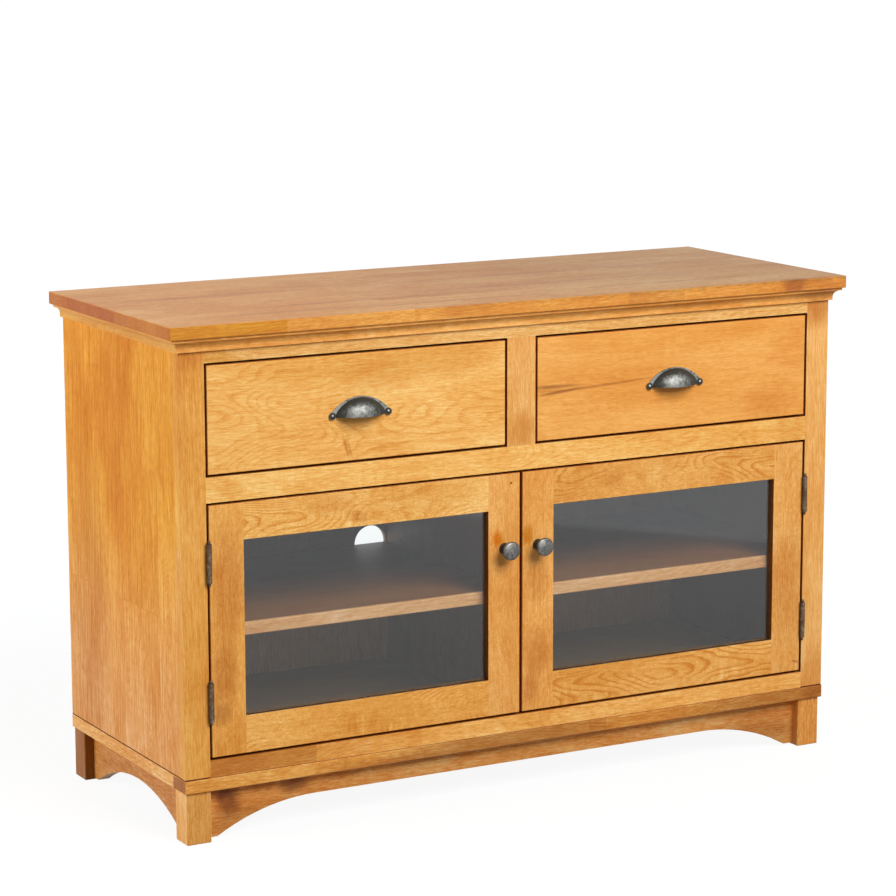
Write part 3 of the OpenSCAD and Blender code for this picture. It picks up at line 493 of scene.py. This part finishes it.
# a mark is its centre, its reach in x, y and z, its slope, its tint and its strength
MARKS = {
    "drawer_right_front": [  # a branching mineral streak, then deeper clouds
        ((62, FACE_Y, 656), (66, 14, 4.4), -1, "c5bac2", 0.9),
        ((72, FACE_Y, 647), (60, 14, 4.2), 5, "bfaeae", 0.9),
        ((160, FACE_Y, 652), (120, 14, 3.2), 3, "d0c0c0", 0.85),
        ((44, FACE_Y, 651), (40, 14, 8), 3, "ebe6e6", 0.8),
        ((470, FACE_Y, 600), (70, 20, 40), 0, "f3e4d4", 0.8),
        ((285, FACE_Y, 722), (330, 20, 44), 0, "f6ecd6", 0.9),
        ((520, FACE_Y, 680), (70, 20, 70), 0, "f4e6d2", 0.9),
    ],
    "drawer_left_front": [  # a dark nick under the pull, then deeper clouds
        ((-310, FACE_Y, 594), (4.6, 14, 26), 16, "dcc4a8", 0.9),
        ((-303, FACE_Y, 588), (2.6, 14, 22), 16, "dccbb4", 0.8),
        ((-250, FACE_Y, 705), (100, 20, 42), 0, "f2e2cc", 0.8),
        ((-285, FACE_Y, 726), (340, 20, 60), 0, "f2e5c8", 1.0),
        ((-110, FACE_Y, 716), (110, 20, 46), 0, "f4e8d4", 0.8),
        ((-500, FACE_Y, 655), (70, 20, 30), 0, "faf2e4", 0.7),
    ],
    "door_left_meeting_stile": [  # a pinhole, and a warm spot up and to the left of the knob
        ((-18.6, FACE_Y, 508.6), (3.0, 8, 2.6), 0, "604838", 1.0),
        ((-43, FACE_Y, 419), (15, 14, 20), 0, "eebd4c", 1.0),
    ],
    "door_right_meeting_stile": [  # the same warm spot, then deeper clouds
        ((11, FACE_Y, 422), (13, 14, 22), 0, "e4cb70", 1.0),
        ((16, FACE_Y, 170), (24, 14, 36), 0, "e3cfc4", 0.8),
        ((30, FACE_Y, 225), (34, 14, 60), 0, "e4d0bc", 0.9),
        ((30, FACE_Y, 345), (30, 14, 50), 0, "ece0d4", 0.9),
    ],
    "door_right_hinge_stile": [  # a short dark fleck near its foot, and a deeper middle
        ((533.7, FACE_Y, 150), (9, 8, 3.6), -20, "c8a890", 0.9),
        ((515, FACE_Y, 290), (60, 20, 130), 0, "ecdcc6", 1.0),
    ],
    "door_left_hinge_stile": [
        ((-519, FACE_Y, 262), (32, 16, 70), 0, "dfcbb8", 0.9),
        ((-526, FACE_Y, 200), (24, 16, 26), 0, "d4c4b8", 0.85),
        ((-512, FACE_Y, 395), (40, 20, 130), 0, "e4cfb8", 1.0),
    ],
    "door_left_top_rail": [
        ((-335, FACE_Y, 506), (60, 16, 26), 0, "ecdac2", 0.9),
        ((-290, FACE_Y, 482), (30, 16, 14), -20, "e2caae", 0.8),
        ((-180, FACE_Y, 500), (150, 16, 50), 0, "f2e6d2", 1.0),
    ],
    "door_right_top_rail": [((170, FACE_Y, 500), (30, 14, 26), 20, "f0e0cc", 0.8)],
    "frame_stile_left": [((-566, FACE_Y, 762), (50, 14, 44), 0, "e6d2be", 0.9)],
    "frame_stile_right": [  # deeper at its head and at its foot
        ((566, FACE_Y, 760), (50, 14, 60), 0, "d8bc98", 1.0),
        ((566, FACE_Y, 110), (50, 14, 90), 0, "e6cca4", 1.0),
    ],
    "frame_mullion": [((0, FACE_Y, 590), (40, 14, 46), 0, "ecdabc", 1.0)],
    "frame_top_rail": [((-530, FACE_Y, 750), (50, 14, 40), 0, "f0e0b4", 0.9)],
    "frame_mid_rail": [
        ((-505, FACE_Y, 545), (34, 14, 22), 0, "f2dfc0", 0.9),
        ((380, FACE_Y, 552), (260, 20, 60), 0, "f8eedc", 1.0),
        ((520, FACE_Y, 552), (60, 20, 60), 0, "f0e0c8", 1.0),
    ],
    "frame_bottom_rail": [((-500, FACE_Y, 118), (80, 14, 26), 0, "f0e0d0", 0.9)],
    "base_rail_front": [  # two streaks, then deeper lengths
        ((-330, BASE_Y, 88), (60, 14, 20), 0, "ece2d4", 0.9),
        ((-230, BASE_Y, 86), (140, 14, 11), 0, "dccabc", 0.9),
        ((-20, BASE_Y, 90), (290, 60, 60), 0, "cbbdb5", 1.0),
        ((480, BASE_Y, 90), (240, 60, 60), 0, "cebeb0", 1.0),
        ((580, BASE_Y, 90), (40, 60, 40), 0, "e4d8cc", 1.0),
        ((265, BASE_Y, 90), (90, 60, 60), 0, "ecdccc", 0.9),
    ],
    "apron_front": [  # darker towards the arch, so the strip in the base rail's shadow reads lighter: painted light; then the patches at its left end
        ((0, APRON_Y, 22), (1500, 60, 62), 0, "cdc9c2", 1.0),
        ((480, APRON_Y, 46), (130, 40, 60), 0, "ece4dc", 1.0),
        ((-508, APRON_Y, 58), (30, 14, 40), 24, "aa9898", 0.95),
        ((-520, APRON_Y, 78), (50, 14, 24), 0, "b4a2a2", 0.95),
        ((-395, APRON_Y, 68), (38, 14, 22), 8, "a89694", 0.95),
        ((-450, APRON_Y, 76), (50, 14, 14), 0, "d0c0bc", 0.9),
        ((-310, APRON_Y, 72), (60, 14, 12), 0, "e4d8d2", 0.9),
        ((-180, APRON_Y, 76), (120, 14, 10), 0, "dccec8", 0.8),
    ],
    "crown_front": [((560, -225, 770), (60, 30, 30), 0, "dccfca", 1.0)],
    "top": [  # cooler and darker to the right, a painted sheen and shade; spots on the front edge, then long streaks
        ((700, 60, TOP_Z), (1300, 900, 7), 0, "dae6fc", 1.0),
        ((505, EDGE_Y, 790), (34, 20, 30), 0, "cdb8ac", 0.95),
        ((-110, EDGE_Y, 790), (70, 20, 30), 0, "f2e8dc", 0.9),
        ((560, EDGE_Y, 790), (70, 20, 30), 0, "f0e4dc", 0.9),
        ((-380, -160, TOP_Z), (260, 16, 14), 0, "e6d8cc", 0.8),
        ((-240, -100, TOP_Z), (330, 12, 14), 0, "e2d2c8", 0.8),
        ((-100, -175, TOP_Z), (300, 9, 14), 0, "e0d0c8", 0.8),
        ((120, -60, TOP_Z), (360, 12, 14), 0, "e2d4cc", 0.8),
        ((-420, 60, TOP_Z), (200, 20, 14), 0, "ead8c8", 0.8),
        ((240, 60, TOP_Z), (400, 16, 14), 0, "e6d8d0", 0.7),
        ((300, -150, TOP_Z), (260, 12, 14), 0, "e6d8d0", 0.8),
    ],
    # the shelves darker towards the back: painted shade
    "shelf_left": [((-285, 190, 333), (1500, 260, 200), 0, "95908a", 1.0)],
    "shelf_right": [((285, 190, 333), (1500, 260, 200), 0, "95908a", 1.0)],
    "apron_left": [  # two deeper patches
        ((-586, 10, 76), (20, 130, 22), 0, "c6b2ae", 0.9),
        ((-586, -110, 50), (20, 50, 30), 0, "ecdccc", 0.8),
    ],
    "side_left": [  # warmer above and paler below: a painted gradient for the floor's reflection; then deeper streaks down the staves
        ((SIDE_X, 20, 640), (90, 1400, 560), 0, "fff088", 1.0),
        ((SIDE_X, 18, 640), (40, 120, 330), 0, "f4e8d0", 0.9),
        ((SIDE_X, 150, 330), (40, 110, 400), 0, "ece2dc", 1.0),
        ((SIDE_X, 150, 640), (40, 130, 200), 0, "fbf2d4", 0.9),
        ((SIDE_X, 20, 400), (20, 34, 200), 0, "f4e2cc", 0.8),
        ((SIDE_X, 110, 320), (20, 40, 90), 0, "f2e0cc", 0.7),
    ],
}
print("boards with marks of their own:", len(MARKS))

# %% [markdown]
# Some tints have straight limits. An edge that meets its neighbour across a gap is
# darkened as painted shade, to keep the gap deep. A shelf stays pale along its front
# edge and is darkened behind it as painted shade, and a rail glued up from short lengths
# changes its tone at each joint.

# %% Zones with straight limits
# a zone is its limits in x, y and z and its tint
ZONES = {
    "top": [  # two lengths of its front edge, its left end, then its upper face, darkened and cooled as painted shade
        ((-610, -417), (-234, -233), (770, 799.6), "f0e886"),
        ((184, 290), (-234, -233), (770, 799.6), "f2eeee"),
        ((-610, -608), None, None, "f2d414"),
        ((-610, -608), (-76, 242), None, "f2eadc"),
        (None, None, (799.6, 801), "ececfb"),
    ],
    # the shelves darkened behind their front edge: painted shade
    "shelf_left": [(None, (-185.4, 300), None, "968060")],
    "shelf_right": [(None, (-185.4, 300), None, "968060")],
    "frame_bottom_rail": [  # three short lengths, glued end to end
        ((-550, -365), None, None, "dccfbe"),
        ((-365, -269), None, None, "f4ece4"),
        ((-269, -180), None, None, "f6eee0"),
    ],
    "base_rail_front": [  # its left end, two pieces let in, and a painted shadow line under the case
        ((-595, -588.2), None, None, "d6ccd8"),
        ((104, 127), None, None, "fffcf8"),
        ((127, 160), None, None, "f0e6dc"),
        (None, (-214.2, -190), (102.6, 104), "5c4030"),
    ],
    "back_panel": [  # its inner face above the shelves, darkened as painted shade, and its outer face
        (None, (225, 233.9), (313, 780), "8e8c89"),
        (None, (233.9, 236), None, "e0e1e1"),
    ],
    "leg_back_left": [(None, (193, 194), None, "f3f8b4")],
    # its front face darkened against a pale stain, so its left face reads lighter: painted light
    "leg_front_left": [(None, (-210, -209), None, "e9dab8")],
    "frame_stile_left": [  # the upper half of its outer side, and its foot
        ((-588, -587.3), None, (460, 800), "fffcd0"),
        (None, None, (100, 104.6), "7c5438"),
    ],
    "frame_stile_right": [(None, None, (100, 104.6), "7c5438")],
    "side_left": [  # its inner face, darkened as painted shade, and the line along its foot
        ((-569.2, -568), None, None, "6c5444"),
        (None, None, (100, 105), "6c4630"),
    ],
    "side_right": [  # the same: its inner face darkened as painted shade, and the line along its foot
        ((568, 569.2), None, None, "6c5444"),
        (None, None, (100, 105), "6c4630"),
    ],
}
# painted shade on the edges of the frame, doors and drawer fronts that face a gap
PAINTED_GAP_SHADE = "b08c70"
PAINTED_LEDGE_SHADOW = "2c1a10"  # painted shadow along the ledge of the rebate, in front of the pane
EDGES_X, EDGES_Y = (-586.9, 586.9), (-212.1, -193.9)  # inside the outer sides and the faces
LOWER_Z = (100, 175)  # the bottom rail of a door, below its ledge in front of the pane
LEDGE_Y, LEDGE_Z = (-211.2, -204), (184, 200)
# every front board gets painted gap shade on its edges; a door's bottom rail gets it only below its
# ledge, with a painted shadow line on the ledge
for name in nodes:
    front_board = (name.startswith(("door_", "drawer_"))
                   and name.endswith(("_stile", "_rail", "_front")))
    if front_board or name.startswith("frame_"):
        zones = ZONES.setdefault(name, [])
        if name.startswith("door_") and name.endswith("_bottom_rail"):
            zones.append((EDGES_X, EDGES_Y, LOWER_Z, PAINTED_GAP_SHADE))
            zones.append((None, LEDGE_Y, LEDGE_Z, PAINTED_LEDGE_SHADOW))
        else:
            zones.append((EDGES_X, EDGES_Y, None, PAINTED_GAP_SHADE))
print("boards with zones:", len(ZONES))

# %% [markdown]
# Now every board gets its cut and its stain. Neighbours differ a little, as they do
# on a cabinet made from many planks: the rails round the doors are lively, the
# stiles are straight-grained, and the base took the stain more deeply.

# %% Cuts of the boards of the case
SIDE = dict(  # what both side panels share
    grain="z_side", fibres=0.7, specks=0.6, lines=1.5, slope=0.7, gloss=0.12,
    staves=(5.0, 0.14, 0.1, (0.1, 0.007), 0.0007), arches=0.5, curl=0.3,
)
BOARDS = {
    "top": dict(
        grain="x_top", stain="de953c", fibres=0.8, seed=1.3, pith=(0.1, 0.14), slope=0.8, gloss=0.5,
        staves=(5.0, 0.095, 0.16, (0.2, 0.03), 0.0002), curl=0.2,
    ),
    "crown_front": dict(grain="x_front", stain="eea955", fibres=0.7, seed=2.1),
    "crown_left": dict(grain="y_side", stain="e0a043", fibres=0.4, seed=2.2),
    "crown_right": dict(grain="y_side", stain="e0a150", fibres=0.4, seed=2.3),
    "side_left": dict(stain="eaa866", seed=3.1, pith=(0.05, 0.2), **SIDE),
    "side_right": dict(stain="e39a4a", seed=3.2, pith=(-0.05, 0.2), **SIDE),
    "frame_stile_left": dict(
        grain="z_front", stain="e59f46", seed=4.1, arches=0.3, curl=0.2, fibres=0.5, lines=1.0,
    ),
    "frame_stile_right": dict(
        grain="z_front", stain="eaa95a", seed=4.2, arches=0.3, curl=0.2, fibres=0.5, lines=0.8,
    ),
    "frame_top_rail": dict(grain="x_front", stain="e7b064", fibres=0.8, seed=4.3),
    "frame_mid_rail": dict(grain="x_front", stain="f7bc66", fibres=0.7, seed=4.4),
    "frame_bottom_rail": dict(
        grain="x_front", stain="f1ae58", seed=4.5, blotches=0.6, fibres=0.7, specks=1.0,
    ),
    "frame_mullion": dict(grain="z_front", stain="edaf63", seed=4.6, arches=0.3, fibres=0.6),
    # stained dark as painted shade for the inside of the bays
    "centre_partition": dict(grain="z_side", stain="86623e", fibres=0.4, clouds=0.5, seed=5.1),
    "drawer_divider": dict(grain="y_side", stain="b98d5e", seed=5.2),
    "dust_panel": dict(grain="x_top", stain="b98d5e", seed=5.3),
    # stained dark as painted shade for the inside of the bays
    "case_bottom": dict(grain="x_top", stain="8c683f", fibres=0.4, clouds=0.5, seed=5.4),
    "back_panel": dict(
        grain="z_front", stain="e8b478", fibres=0.4, clouds=0.5, seed=5.5,
        staves=(5.0, 0.16, 0.12, (0.1, 0.0), 0.0003),
    ),
    "shelf_left": dict(grain="x_top", stain="eead73", fibres=0.6, seed=5.6),
    "shelf_right": dict(grain="x_top", stain="eead73", fibres=0.6, seed=5.7),
    "base_rail_front": dict(grain="x_front", stain="e6a24c", fibres=0.9, seed=6.1, blotches=0.8),
    "base_rail_back": dict(grain="x_front", stain="e19d4f", seed=6.2, blotches=0.9),
    "base_rail_left": dict(grain="y_side", stain="eeae61", seed=6.3),
    "base_rail_right": dict(grain="y_side", stain="eeae61", seed=6.4),
    # a pale stain for its left face, with its front face darkened by a zone: painted light
    "leg_front_left": dict(grain="z_front", stain="f8c077", fibres=0.8, seed=7.1),
    "leg_front_right": dict(grain="z_front", stain="e29a4a", seed=7.2),
    # stained dark as painted shade: this leg stands in the shade under the case
    "leg_back_left": dict(grain="z_front", stain="a06633", fibres=0.6, seed=7.3),
    "leg_back_right": dict(grain="z_front", stain="cf9048", seed=7.4),
    # a pale stain, darkened towards the arch by a mark: painted light in the base rail's shadow
    "apron_front": dict(grain="x_front", stain="f8a957", seed=7.5, blotches=1.0),
    "apron_back": dict(grain="x_front", stain="e49849", seed=7.6, blotches=1.0),
    "apron_left": dict(grain="y_side", stain="cc8742", seed=7.7, blotches=0.7),
    "apron_right": dict(grain="y_side", stain="cc8742", seed=7.8, blotches=0.7),
    "drawer_runners": dict(grain="y_side", stain="c79a66", seed=8.1),
    "drawer_left_front": dict(
        grain="x_front", stain="f7bc68", seed=9.1, arches=0.9, curl=0.3, blotches=0.15, fibres=0.6,
    ),
    "drawer_right_front": dict(
        grain="x_front", stain="efa954", seed=9.2, arches=0.3, curl=0.2, blotches=0.12, fibres=0.4,
    ),
}
print("boards of the case and drawer fronts:", len(BOARDS))

# %% [markdown]
# The doors and drawer boxes come in pairs, so a loop cuts them, with a seed that
# moves each board to its own part of the tree.

# %% Cuts of the doors and drawer boxes
LIVELY = dict(arches=2.2, curl=1.0, blotches=0.6, fibres=0.45, specks=1.6, lines=0.3)
STRAIGHT = dict(arches=0.3, fibres=0.5, specks=1.3, lines=0.6)
DOOR_STAINS = {
    "left": dict(hinge="eba750", meeting="e9a452", top="f3b762", bottom="edaa52"),
    "right": dict(hinge="ebab5b", meeting="eba552", top="e6a451", bottom="eaa752"),
}
BOX_STAIN, STOP_STAIN = "dcb07a", "8a6442"
for side, seed in (("left", 10.0), ("right", 10.55)):
    stains = DOOR_STAINS[side]
    for step, (part, grain) in enumerate((("sides", "y_side"), ("back", "x_front"),
                                          ("bottom", "x_top")), 1):
        BOARDS[f"drawer_{side}_{part}"] = dict(grain=grain, stain=BOX_STAIN, seed=seed + step / 10)
    BOARDS[f"door_{side}_hinge_stile"] = dict(grain="z_front", stain=stains["hinge"],
                                              seed=seed + 1.1, blotches=0.6, **STRAIGHT)
    BOARDS[f"door_{side}_meeting_stile"] = dict(grain="z_front", stain=stains["meeting"],
                                                seed=seed + 1.2, **STRAIGHT)
    BOARDS[f"door_{side}_top_rail"] = dict(grain="x_front", stain=stains["top"],
                                           seed=seed + 1.3, **LIVELY)
    BOARDS[f"door_{side}_bottom_rail"] = dict(grain="x_front", stain=stains["bottom"],
                                              seed=seed + 1.4, **LIVELY)
    BOARDS[f"door_{side}_stops"] = dict(grain="x_front", stain=STOP_STAIN, seed=seed + 1.5)
BOARDS["door_left_bottom_rail"].update(curl=1.5, blotches=0.4)
for name, cut in BOARDS.items():
    dress(name, board_finish(name, marks=MARKS.get(name, ()), zones=ZONES.get(name, ()), **cut))
print("boards finished:", len(BOARDS))

# %% [markdown]
# The pulls and knobs are cast zinc with an antique pewter wash. It stays dark in the
# hollows and near the wood. Where it stands out, on the dome, the flat rim and the ears,
# it is drawn bright: painted highlights and a painted reflection of the wood. A metal
# shows its surroundings, so the bright places are drawn in its colour and the rest is kept deep.

# %% Cast metal
GRIT = 620  # grains per metre: drawn 1.6 mm apart, as the real 0.3 wouldn't show
WASH = 0.5  # how much less is bare where the wash is thickest
PAINTED_RIM_GLEAM = 0.7  # how much brighter a flat rim is drawn: a painted reflection of the wood


def cast_finish(name, dark, bright, rough, spot_mm, painted_highlights=(), cover=0.5, washed=None, rim=None):
    """A washed cast metal. Painted highlights are (centre, reach, amount); cover says how much is
    bare.

    Washed is a pair of depths in mm, y where the wash starts and where it is thickest. Rim is
    the y behind which a flat rim is drawn brighter again, a painted reflection.
    """
    finish, tree = new_finish(name)
    where = put(tree, "TexCoord").outputs["Object"]
    cell = 2 * spot_mm / 1000  # a spot fills about half a cell of the noise
    spots = put(tree, "TexNoise", {"Vector": where, "Scale": 1 / cell, "Detail": 4.0,
                                   "Roughness": 0.7})
    grit = put(tree, "TexNoise", {"Vector": where, "Scale": GRIT, "Detail": 2.0})
    bare = put(tree, "Math", {0: grit, 1: 0.3, 2: spots}, operation="MULTIPLY_ADD")
    for centre, reach, amount in painted_highlights:
        near = put(tree, "Mapping", {"Vector": where, "Location": Vector(centre) / 1000,
                                     "Scale": Vector(reach) / 1000}, vector_type="TEXTURE")
        ball = put(tree, "TexGradient", {"Vector": near}, gradient_type="SPHERICAL").outputs["Fac"]
        bare = put(tree, "Math", {0: ball, 1: amount, 2: bare}, operation="MULTIPLY_ADD")
    depth = put(tree, "SeparateXYZ", {0: where}).outputs["Y"]
    if washed:
        wash = put(tree, "MapRange", {"Value": depth, "From Min": washed[0] / 1000,
                                      "From Max": washed[1] / 1000, "To Max": WASH})
        bare = put(tree, "Math", {0: bare, 1: wash}, operation="SUBTRACT")
    if rim:
        at_rim = put(tree, "Math", {0: depth, 1: rim / 1000}, operation="GREATER_THAN")
        bare = put(tree, "Math", {0: at_rim, 1: PAINTED_RIM_GLEAM, 2: bare}, operation="MULTIPLY_ADD")
    bare = put(tree, "MapRange", {"Value": bare, "From Min": 1.0 - cover, "From Max": 1.6 - cover},
               interpolation_type="SMOOTHSTEP")
    colour = put(tree, "Mix", {0: bare, 6: linear(dark), 7: linear(bright)}, data_type="RGBA")
    worn = put(tree, "MapRange", {"Value": bare, "To Min": rough + 0.12, "To Max": rough - 0.05})
    dents = put(tree, "Bump", {"Height": grit, "Strength": 0.25, "Distance": 0.0004})
    metal = put(tree, "BsdfPrincipled", {"Base Color": colour.outputs[2], "Metallic": 1.0,
                                         "Roughness": worn, "Normal": dents})
    put(tree, "OutputMaterial", {"Surface": metal})
    return finish


print("grit of the cast skin in mm:", round(1000 / GRIT, 1))

# %% [markdown]
# Each fitting gets its own casting; the pulls and knobs get painted highlights at their own
# places. The hinges are oil-rubbed bronze: brown oxide over a warm metal, worn pale in
# spots. The shelf pins are bright zinc-plated steel.

# %% Finish the fittings
PULL_X, PULL_EAR = 285.5, 48  # mm from the middle to a pull, and from there to its ears
KNOB_X = 30.75  # mm from the middle to a knob
BRONZE = dict(dark="5c4a3a", bright="b4a490", rough=0.5)
ZINC = dict(dark="7c7a74", bright="b5b3ad", rough=0.35)
# painted highlights are a centre and a reach in mm, and how much brighter they are drawn
for side, sign in (("left", -1), ("right", 1)):
    x = sign * PULL_X
    # painted highlights: a broad gleam left of the dome's middle, one on the rim's left and one on
    # each ear
    painted_highlights = [((x - 29, -236, 651), (50, 26, 24), 0.44), ((x - 40, -214, 655), (22, 4, 18), 0.5)]
    painted_highlights += [((x + ear - 1, -217.5, 644), (3.4, 3, 3.4), 1.3) for ear in (-PULL_EAR, PULL_EAR)]
    dress(f"drawer_{side}_pull", cast_finish(
        f"antique_pewter_pull_{side}", "444541", "949590", 0.6, 3, painted_highlights, 0.5,
        washed=(-233, -217), rim=-214.8))
    # a painted highlight on the knob's upper left
    painted_highlights = [((sign * KNOB_X - 8, -236, 413), (9, 9, 9), 0.5)]
    dress(f"door_{side}_knob", cast_finish(
        f"antique_pewter_knob_{side}", "4a4947", "898883", 0.5, 2.4, painted_highlights, 0.60,
        washed=(-233, -229)))
    dress(f"door_{side}_hinge_halves", cast_finish(f"oil_rubbed_bronze_{side}", spot_mm=4,
                                                   cover=0.45, **BRONZE))
dress("hinge_case_halves", cast_finish("oil_rubbed_bronze_case", spot_mm=4, cover=0.45, **BRONZE))
dress("shelf_pins", cast_finish("zinc_plated_steel", spot_mm=6, **ZINC))
print("fittings:", [n for n in nodes if n not in BOARDS and not n.endswith("_glass")])

# %% [markdown]
# The panes are ordinary clear float glass, 3 mm thick. Lamps have to shine through
# it, so for lamp rays and bounced rays the pane is simply clear.

# %% Glass
glass, tree = new_finish("clear_float_glass")
ray = put(tree, "LightPath")
pane = put(tree, "BsdfPrincipled", {"Base Color": linear("f6faf8"), "Roughness": 0.0, "IOR": 1.52,
                                    "Transmission Weight": 1.0})
clear = put(tree, "BsdfTransparent", {"Color": linear("f2f7f5")})
through = put(tree, "Math", {0: ray.outputs["Is Shadow Ray"], 1: ray.outputs["Is Diffuse Ray"]},
              operation="MAXIMUM")
both = put(tree, "MixShader", {0: through, 1: pane, 2: clear})
put(tree, "OutputMaterial", {"Surface": both})
dress("door_left_glass", glass)
dress("door_right_glass", glass)
print("panes:", [n for n in nodes if n.endswith("_glass")])

# %% [markdown]
# What is left are the small fasteners, which CAD leaves out: the machine screws that
# hold the pulls and knobs from inside, the flush screws in the hinge leaves and the
# brads round the back. A head starts as a low cone with its rim rounded. Cutting
# planes mark a cross on its top, and those faces are pushed down for the driver.

# %% Screw heads and brads
TAPER = 0.86  # of a head's radius, at its top
NEAR_TOP = 0.9  # of a head's height: what lies above is its top
SLOT, CROSS = 0.13, 0.55  # of a head's radius: half the width and half the length of a slot
TURN = 37  # degrees from one cross to the next, as no two screws stop alike
ORDER = Vector((1.0, 2.7, 7.3))  # a way along which no two parts of a head tie


def head_mesh(radius, height, recess):
    """One head on z = 0 that faces +Z. With a recess depth it gets a cross for the driver."""
    head = bmesh.new()
    bmesh.ops.create_cone(head, cap_ends=True, segments=20, radius1=radius, radius2=radius * TAPER,
                          depth=height)
    bmesh.ops.translate(head, vec=(0, 0, height / 2), verts=head.verts)
    rim = [e for e in head.edges if all(v.co.z > height * NEAR_TOP for v in e.verts)]
    bmesh.ops.bevel(head, geom=rim, affect="EDGES", offset=height * 0.5, segments=3, profile=0.5,
                    material=-1)
    if recess:
        half_slot, half_cross = radius * SLOT, radius * CROSS
        for axis in (Vector((1, 0, 0)), Vector((0, 1, 0))):
            for at in (-half_cross, -half_slot, half_slot, half_cross):
                flat = [f for f in head.faces
                        if f.normal.z > 0.99 and f.calc_center_median().z > height * NEAR_TOP]
                around = {e for f in flat for e in f.edges} | {v for f in flat for v in f.verts}
                bmesh.ops.bisect_plane(head, geom=flat + list(around), plane_co=axis * at,
                                       plane_no=axis)
        cross = []
        for face in head.faces:
            spot = face.calc_center_median()
            thin, long = sorted((abs(spot.x), abs(spot.y)))
            if face.normal.z > 0.99 and thin < half_slot and long < half_cross:
                cross.append(face)
        pushed = bmesh.ops.extrude_face_region(head, geom=cross)
        bmesh.ops.delete(head, geom=cross, context="FACES")
        sunk = [v for v in pushed["geom"] if isinstance(v, bmesh.types.BMVert)]
        bmesh.ops.translate(head, vec=(0, 0, -recess), verts=sunk)
    bmesh.ops.recalc_face_normals(head, faces=head.faces)
    # the operators may number a cross's parts in another order on each run, so all are sorted
    head.verts.sort(key=lambda vert: vert.co.dot(ORDER))
    head.edges.sort(key=lambda edge: (edge.verts[0].co + edge.verts[1].co).dot(ORDER))
    head.faces.sort(key=lambda face: face.calc_center_median().dot(ORDER))
    mesh = bpy.data.meshes.new("head")
    head.to_mesh(mesh)
    head.free()
    return mesh


def set_heads(name, body, finish, out, size, spots):
    """Sets copies of one head at spots in mm, facing out, and lets them ride on a body.

    Its size is its radius, height and recess in mm.
    """
    one = head_mesh(*[length / 1000 for length in size])
    heads = bmesh.new()
    for number, spot in enumerate(spots):
        heads.from_mesh(one)
        heads.verts.ensure_lookup_table()
        facing = Vector(out).to_track_quat("Z", "Y").to_matrix().to_4x4()
        turn = Matrix.Rotation(math.radians(TURN * number), 4, "Z")
        bmesh.ops.transform(heads, verts=heads.verts[-len(one.vertices):],
                            matrix=Matrix.Translation(Vector(spot) / 1000) @ facing @ turn)
    mesh = bpy.data.meshes.new(name)
    heads.to_mesh(mesh)
    heads.free()
    bpy.data.meshes.remove(one)
    mesh.materials.append(finish)
    piece = bpy.data.objects.new(name, mesh)
    scene.collection.objects.link(piece)
    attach(piece, body)
    print(name, "heads:", len(spots), "faces:", len(mesh.polygons))


# %% [markdown]
# The heads go where the CAD bores and leaves expect them: behind each pull and knob,
# three to a hinge leaf, and brads along the glass stops and the edges of the back.

# %% Set the heads
# radius, height and recess, in mm
PULL_SCREW, KNOB_SCREW, LEAF_SCREW = (4.0, 2.2, 1.2), (4.0, 2.0, 1.2), (2.8, 0.3, 0.25)
STOP_BRAD, BACK_BRAD = (1.0, 0.3, 0), (1.6, 0.6, 0)
# places in mm: y of the inner faces of the fronts, of the back, and of the leaves' screws
INSIDE_Y, BACK_Y, LEAF_Y = -193.5, 234.5, -204.5
PULL_Z, KNOB_Z = 642.5, 404.5
DOOR_LEAF_X, CASE_LEAF_X = 543.3, 544.2  # from the middle: a hinge's two leaves, face to face
LEAF_ZS = [z + step for z in (221.5, 436.5) for step in (-21, 0, 21)]  # two hinges, three each
# brads sit along the level stops and edges, and then along the upright ones
LEVEL_STOP_ZS, LEVEL_STOP_XS = (189, 471), (90, 181, 272, 363, 454)
UPRIGHT_STOP_XS, UPRIGHT_STOP_ZS = (55.5, 488.5), (240, 330, 420)
LEVEL_BACK_ZS, LEVEL_BACK_XS = (112, 561, 771), range(-540, 541, 120)
UPRIGHT_BACK_XS, UPRIGHT_BACK_ZS = (-566, 0, 566), (190, 290, 390, 490)
BACKWARDS = (0, 1, 0)

steel = cast_finish("zinc_plated_steel_screws", spot_mm=3, **ZINC)
bronze = cast_finish("oil_rubbed_bronze_screws", spot_mm=3, **BRONZE)
for side, sign in (("left", -1), ("right", 1)):
    set_heads(f"drawer_{side}_pull_screws", f"drawer_{side}", steel,
              BACKWARDS, PULL_SCREW,
              [(sign * PULL_X + ear, INSIDE_Y, PULL_Z) for ear in (-PULL_EAR, PULL_EAR)])
    set_heads(f"door_{side}_knob_screw", f"door_{side}", steel,
              BACKWARDS, KNOB_SCREW, [(sign * KNOB_X, INSIDE_Y, KNOB_Z)])
    set_heads(f"door_{side}_leaf_screws", f"door_{side}", bronze,
              (sign, 0, 0), LEAF_SCREW, [(sign * DOOR_LEAF_X, LEAF_Y, z) for z in LEAF_ZS])
    set_heads(f"case_{side}_leaf_screws", "cabinet", bronze,
              (-sign, 0, 0), LEAF_SCREW, [(sign * CASE_LEAF_X, LEAF_Y, z) for z in LEAF_ZS])
    set_heads(f"door_{side}_stop_brads", f"door_{side}", bronze,
              BACKWARDS, STOP_BRAD,
              [(sign * x, INSIDE_Y, z) for z in LEVEL_STOP_ZS for x in LEVEL_STOP_XS]
              + [(sign * x, INSIDE_Y, z) for x in UPRIGHT_STOP_XS for z in UPRIGHT_STOP_ZS])
set_heads("back_panel_brads", "cabinet", bronze,
          BACKWARDS, BACK_BRAD,
          [(x, BACK_Y, z) for z in LEVEL_BACK_ZS for x in LEVEL_BACK_XS]
          + [(x, BACK_Y, z) for x in UPRIGHT_BACK_XS for z in UPRIGHT_BACK_ZS])
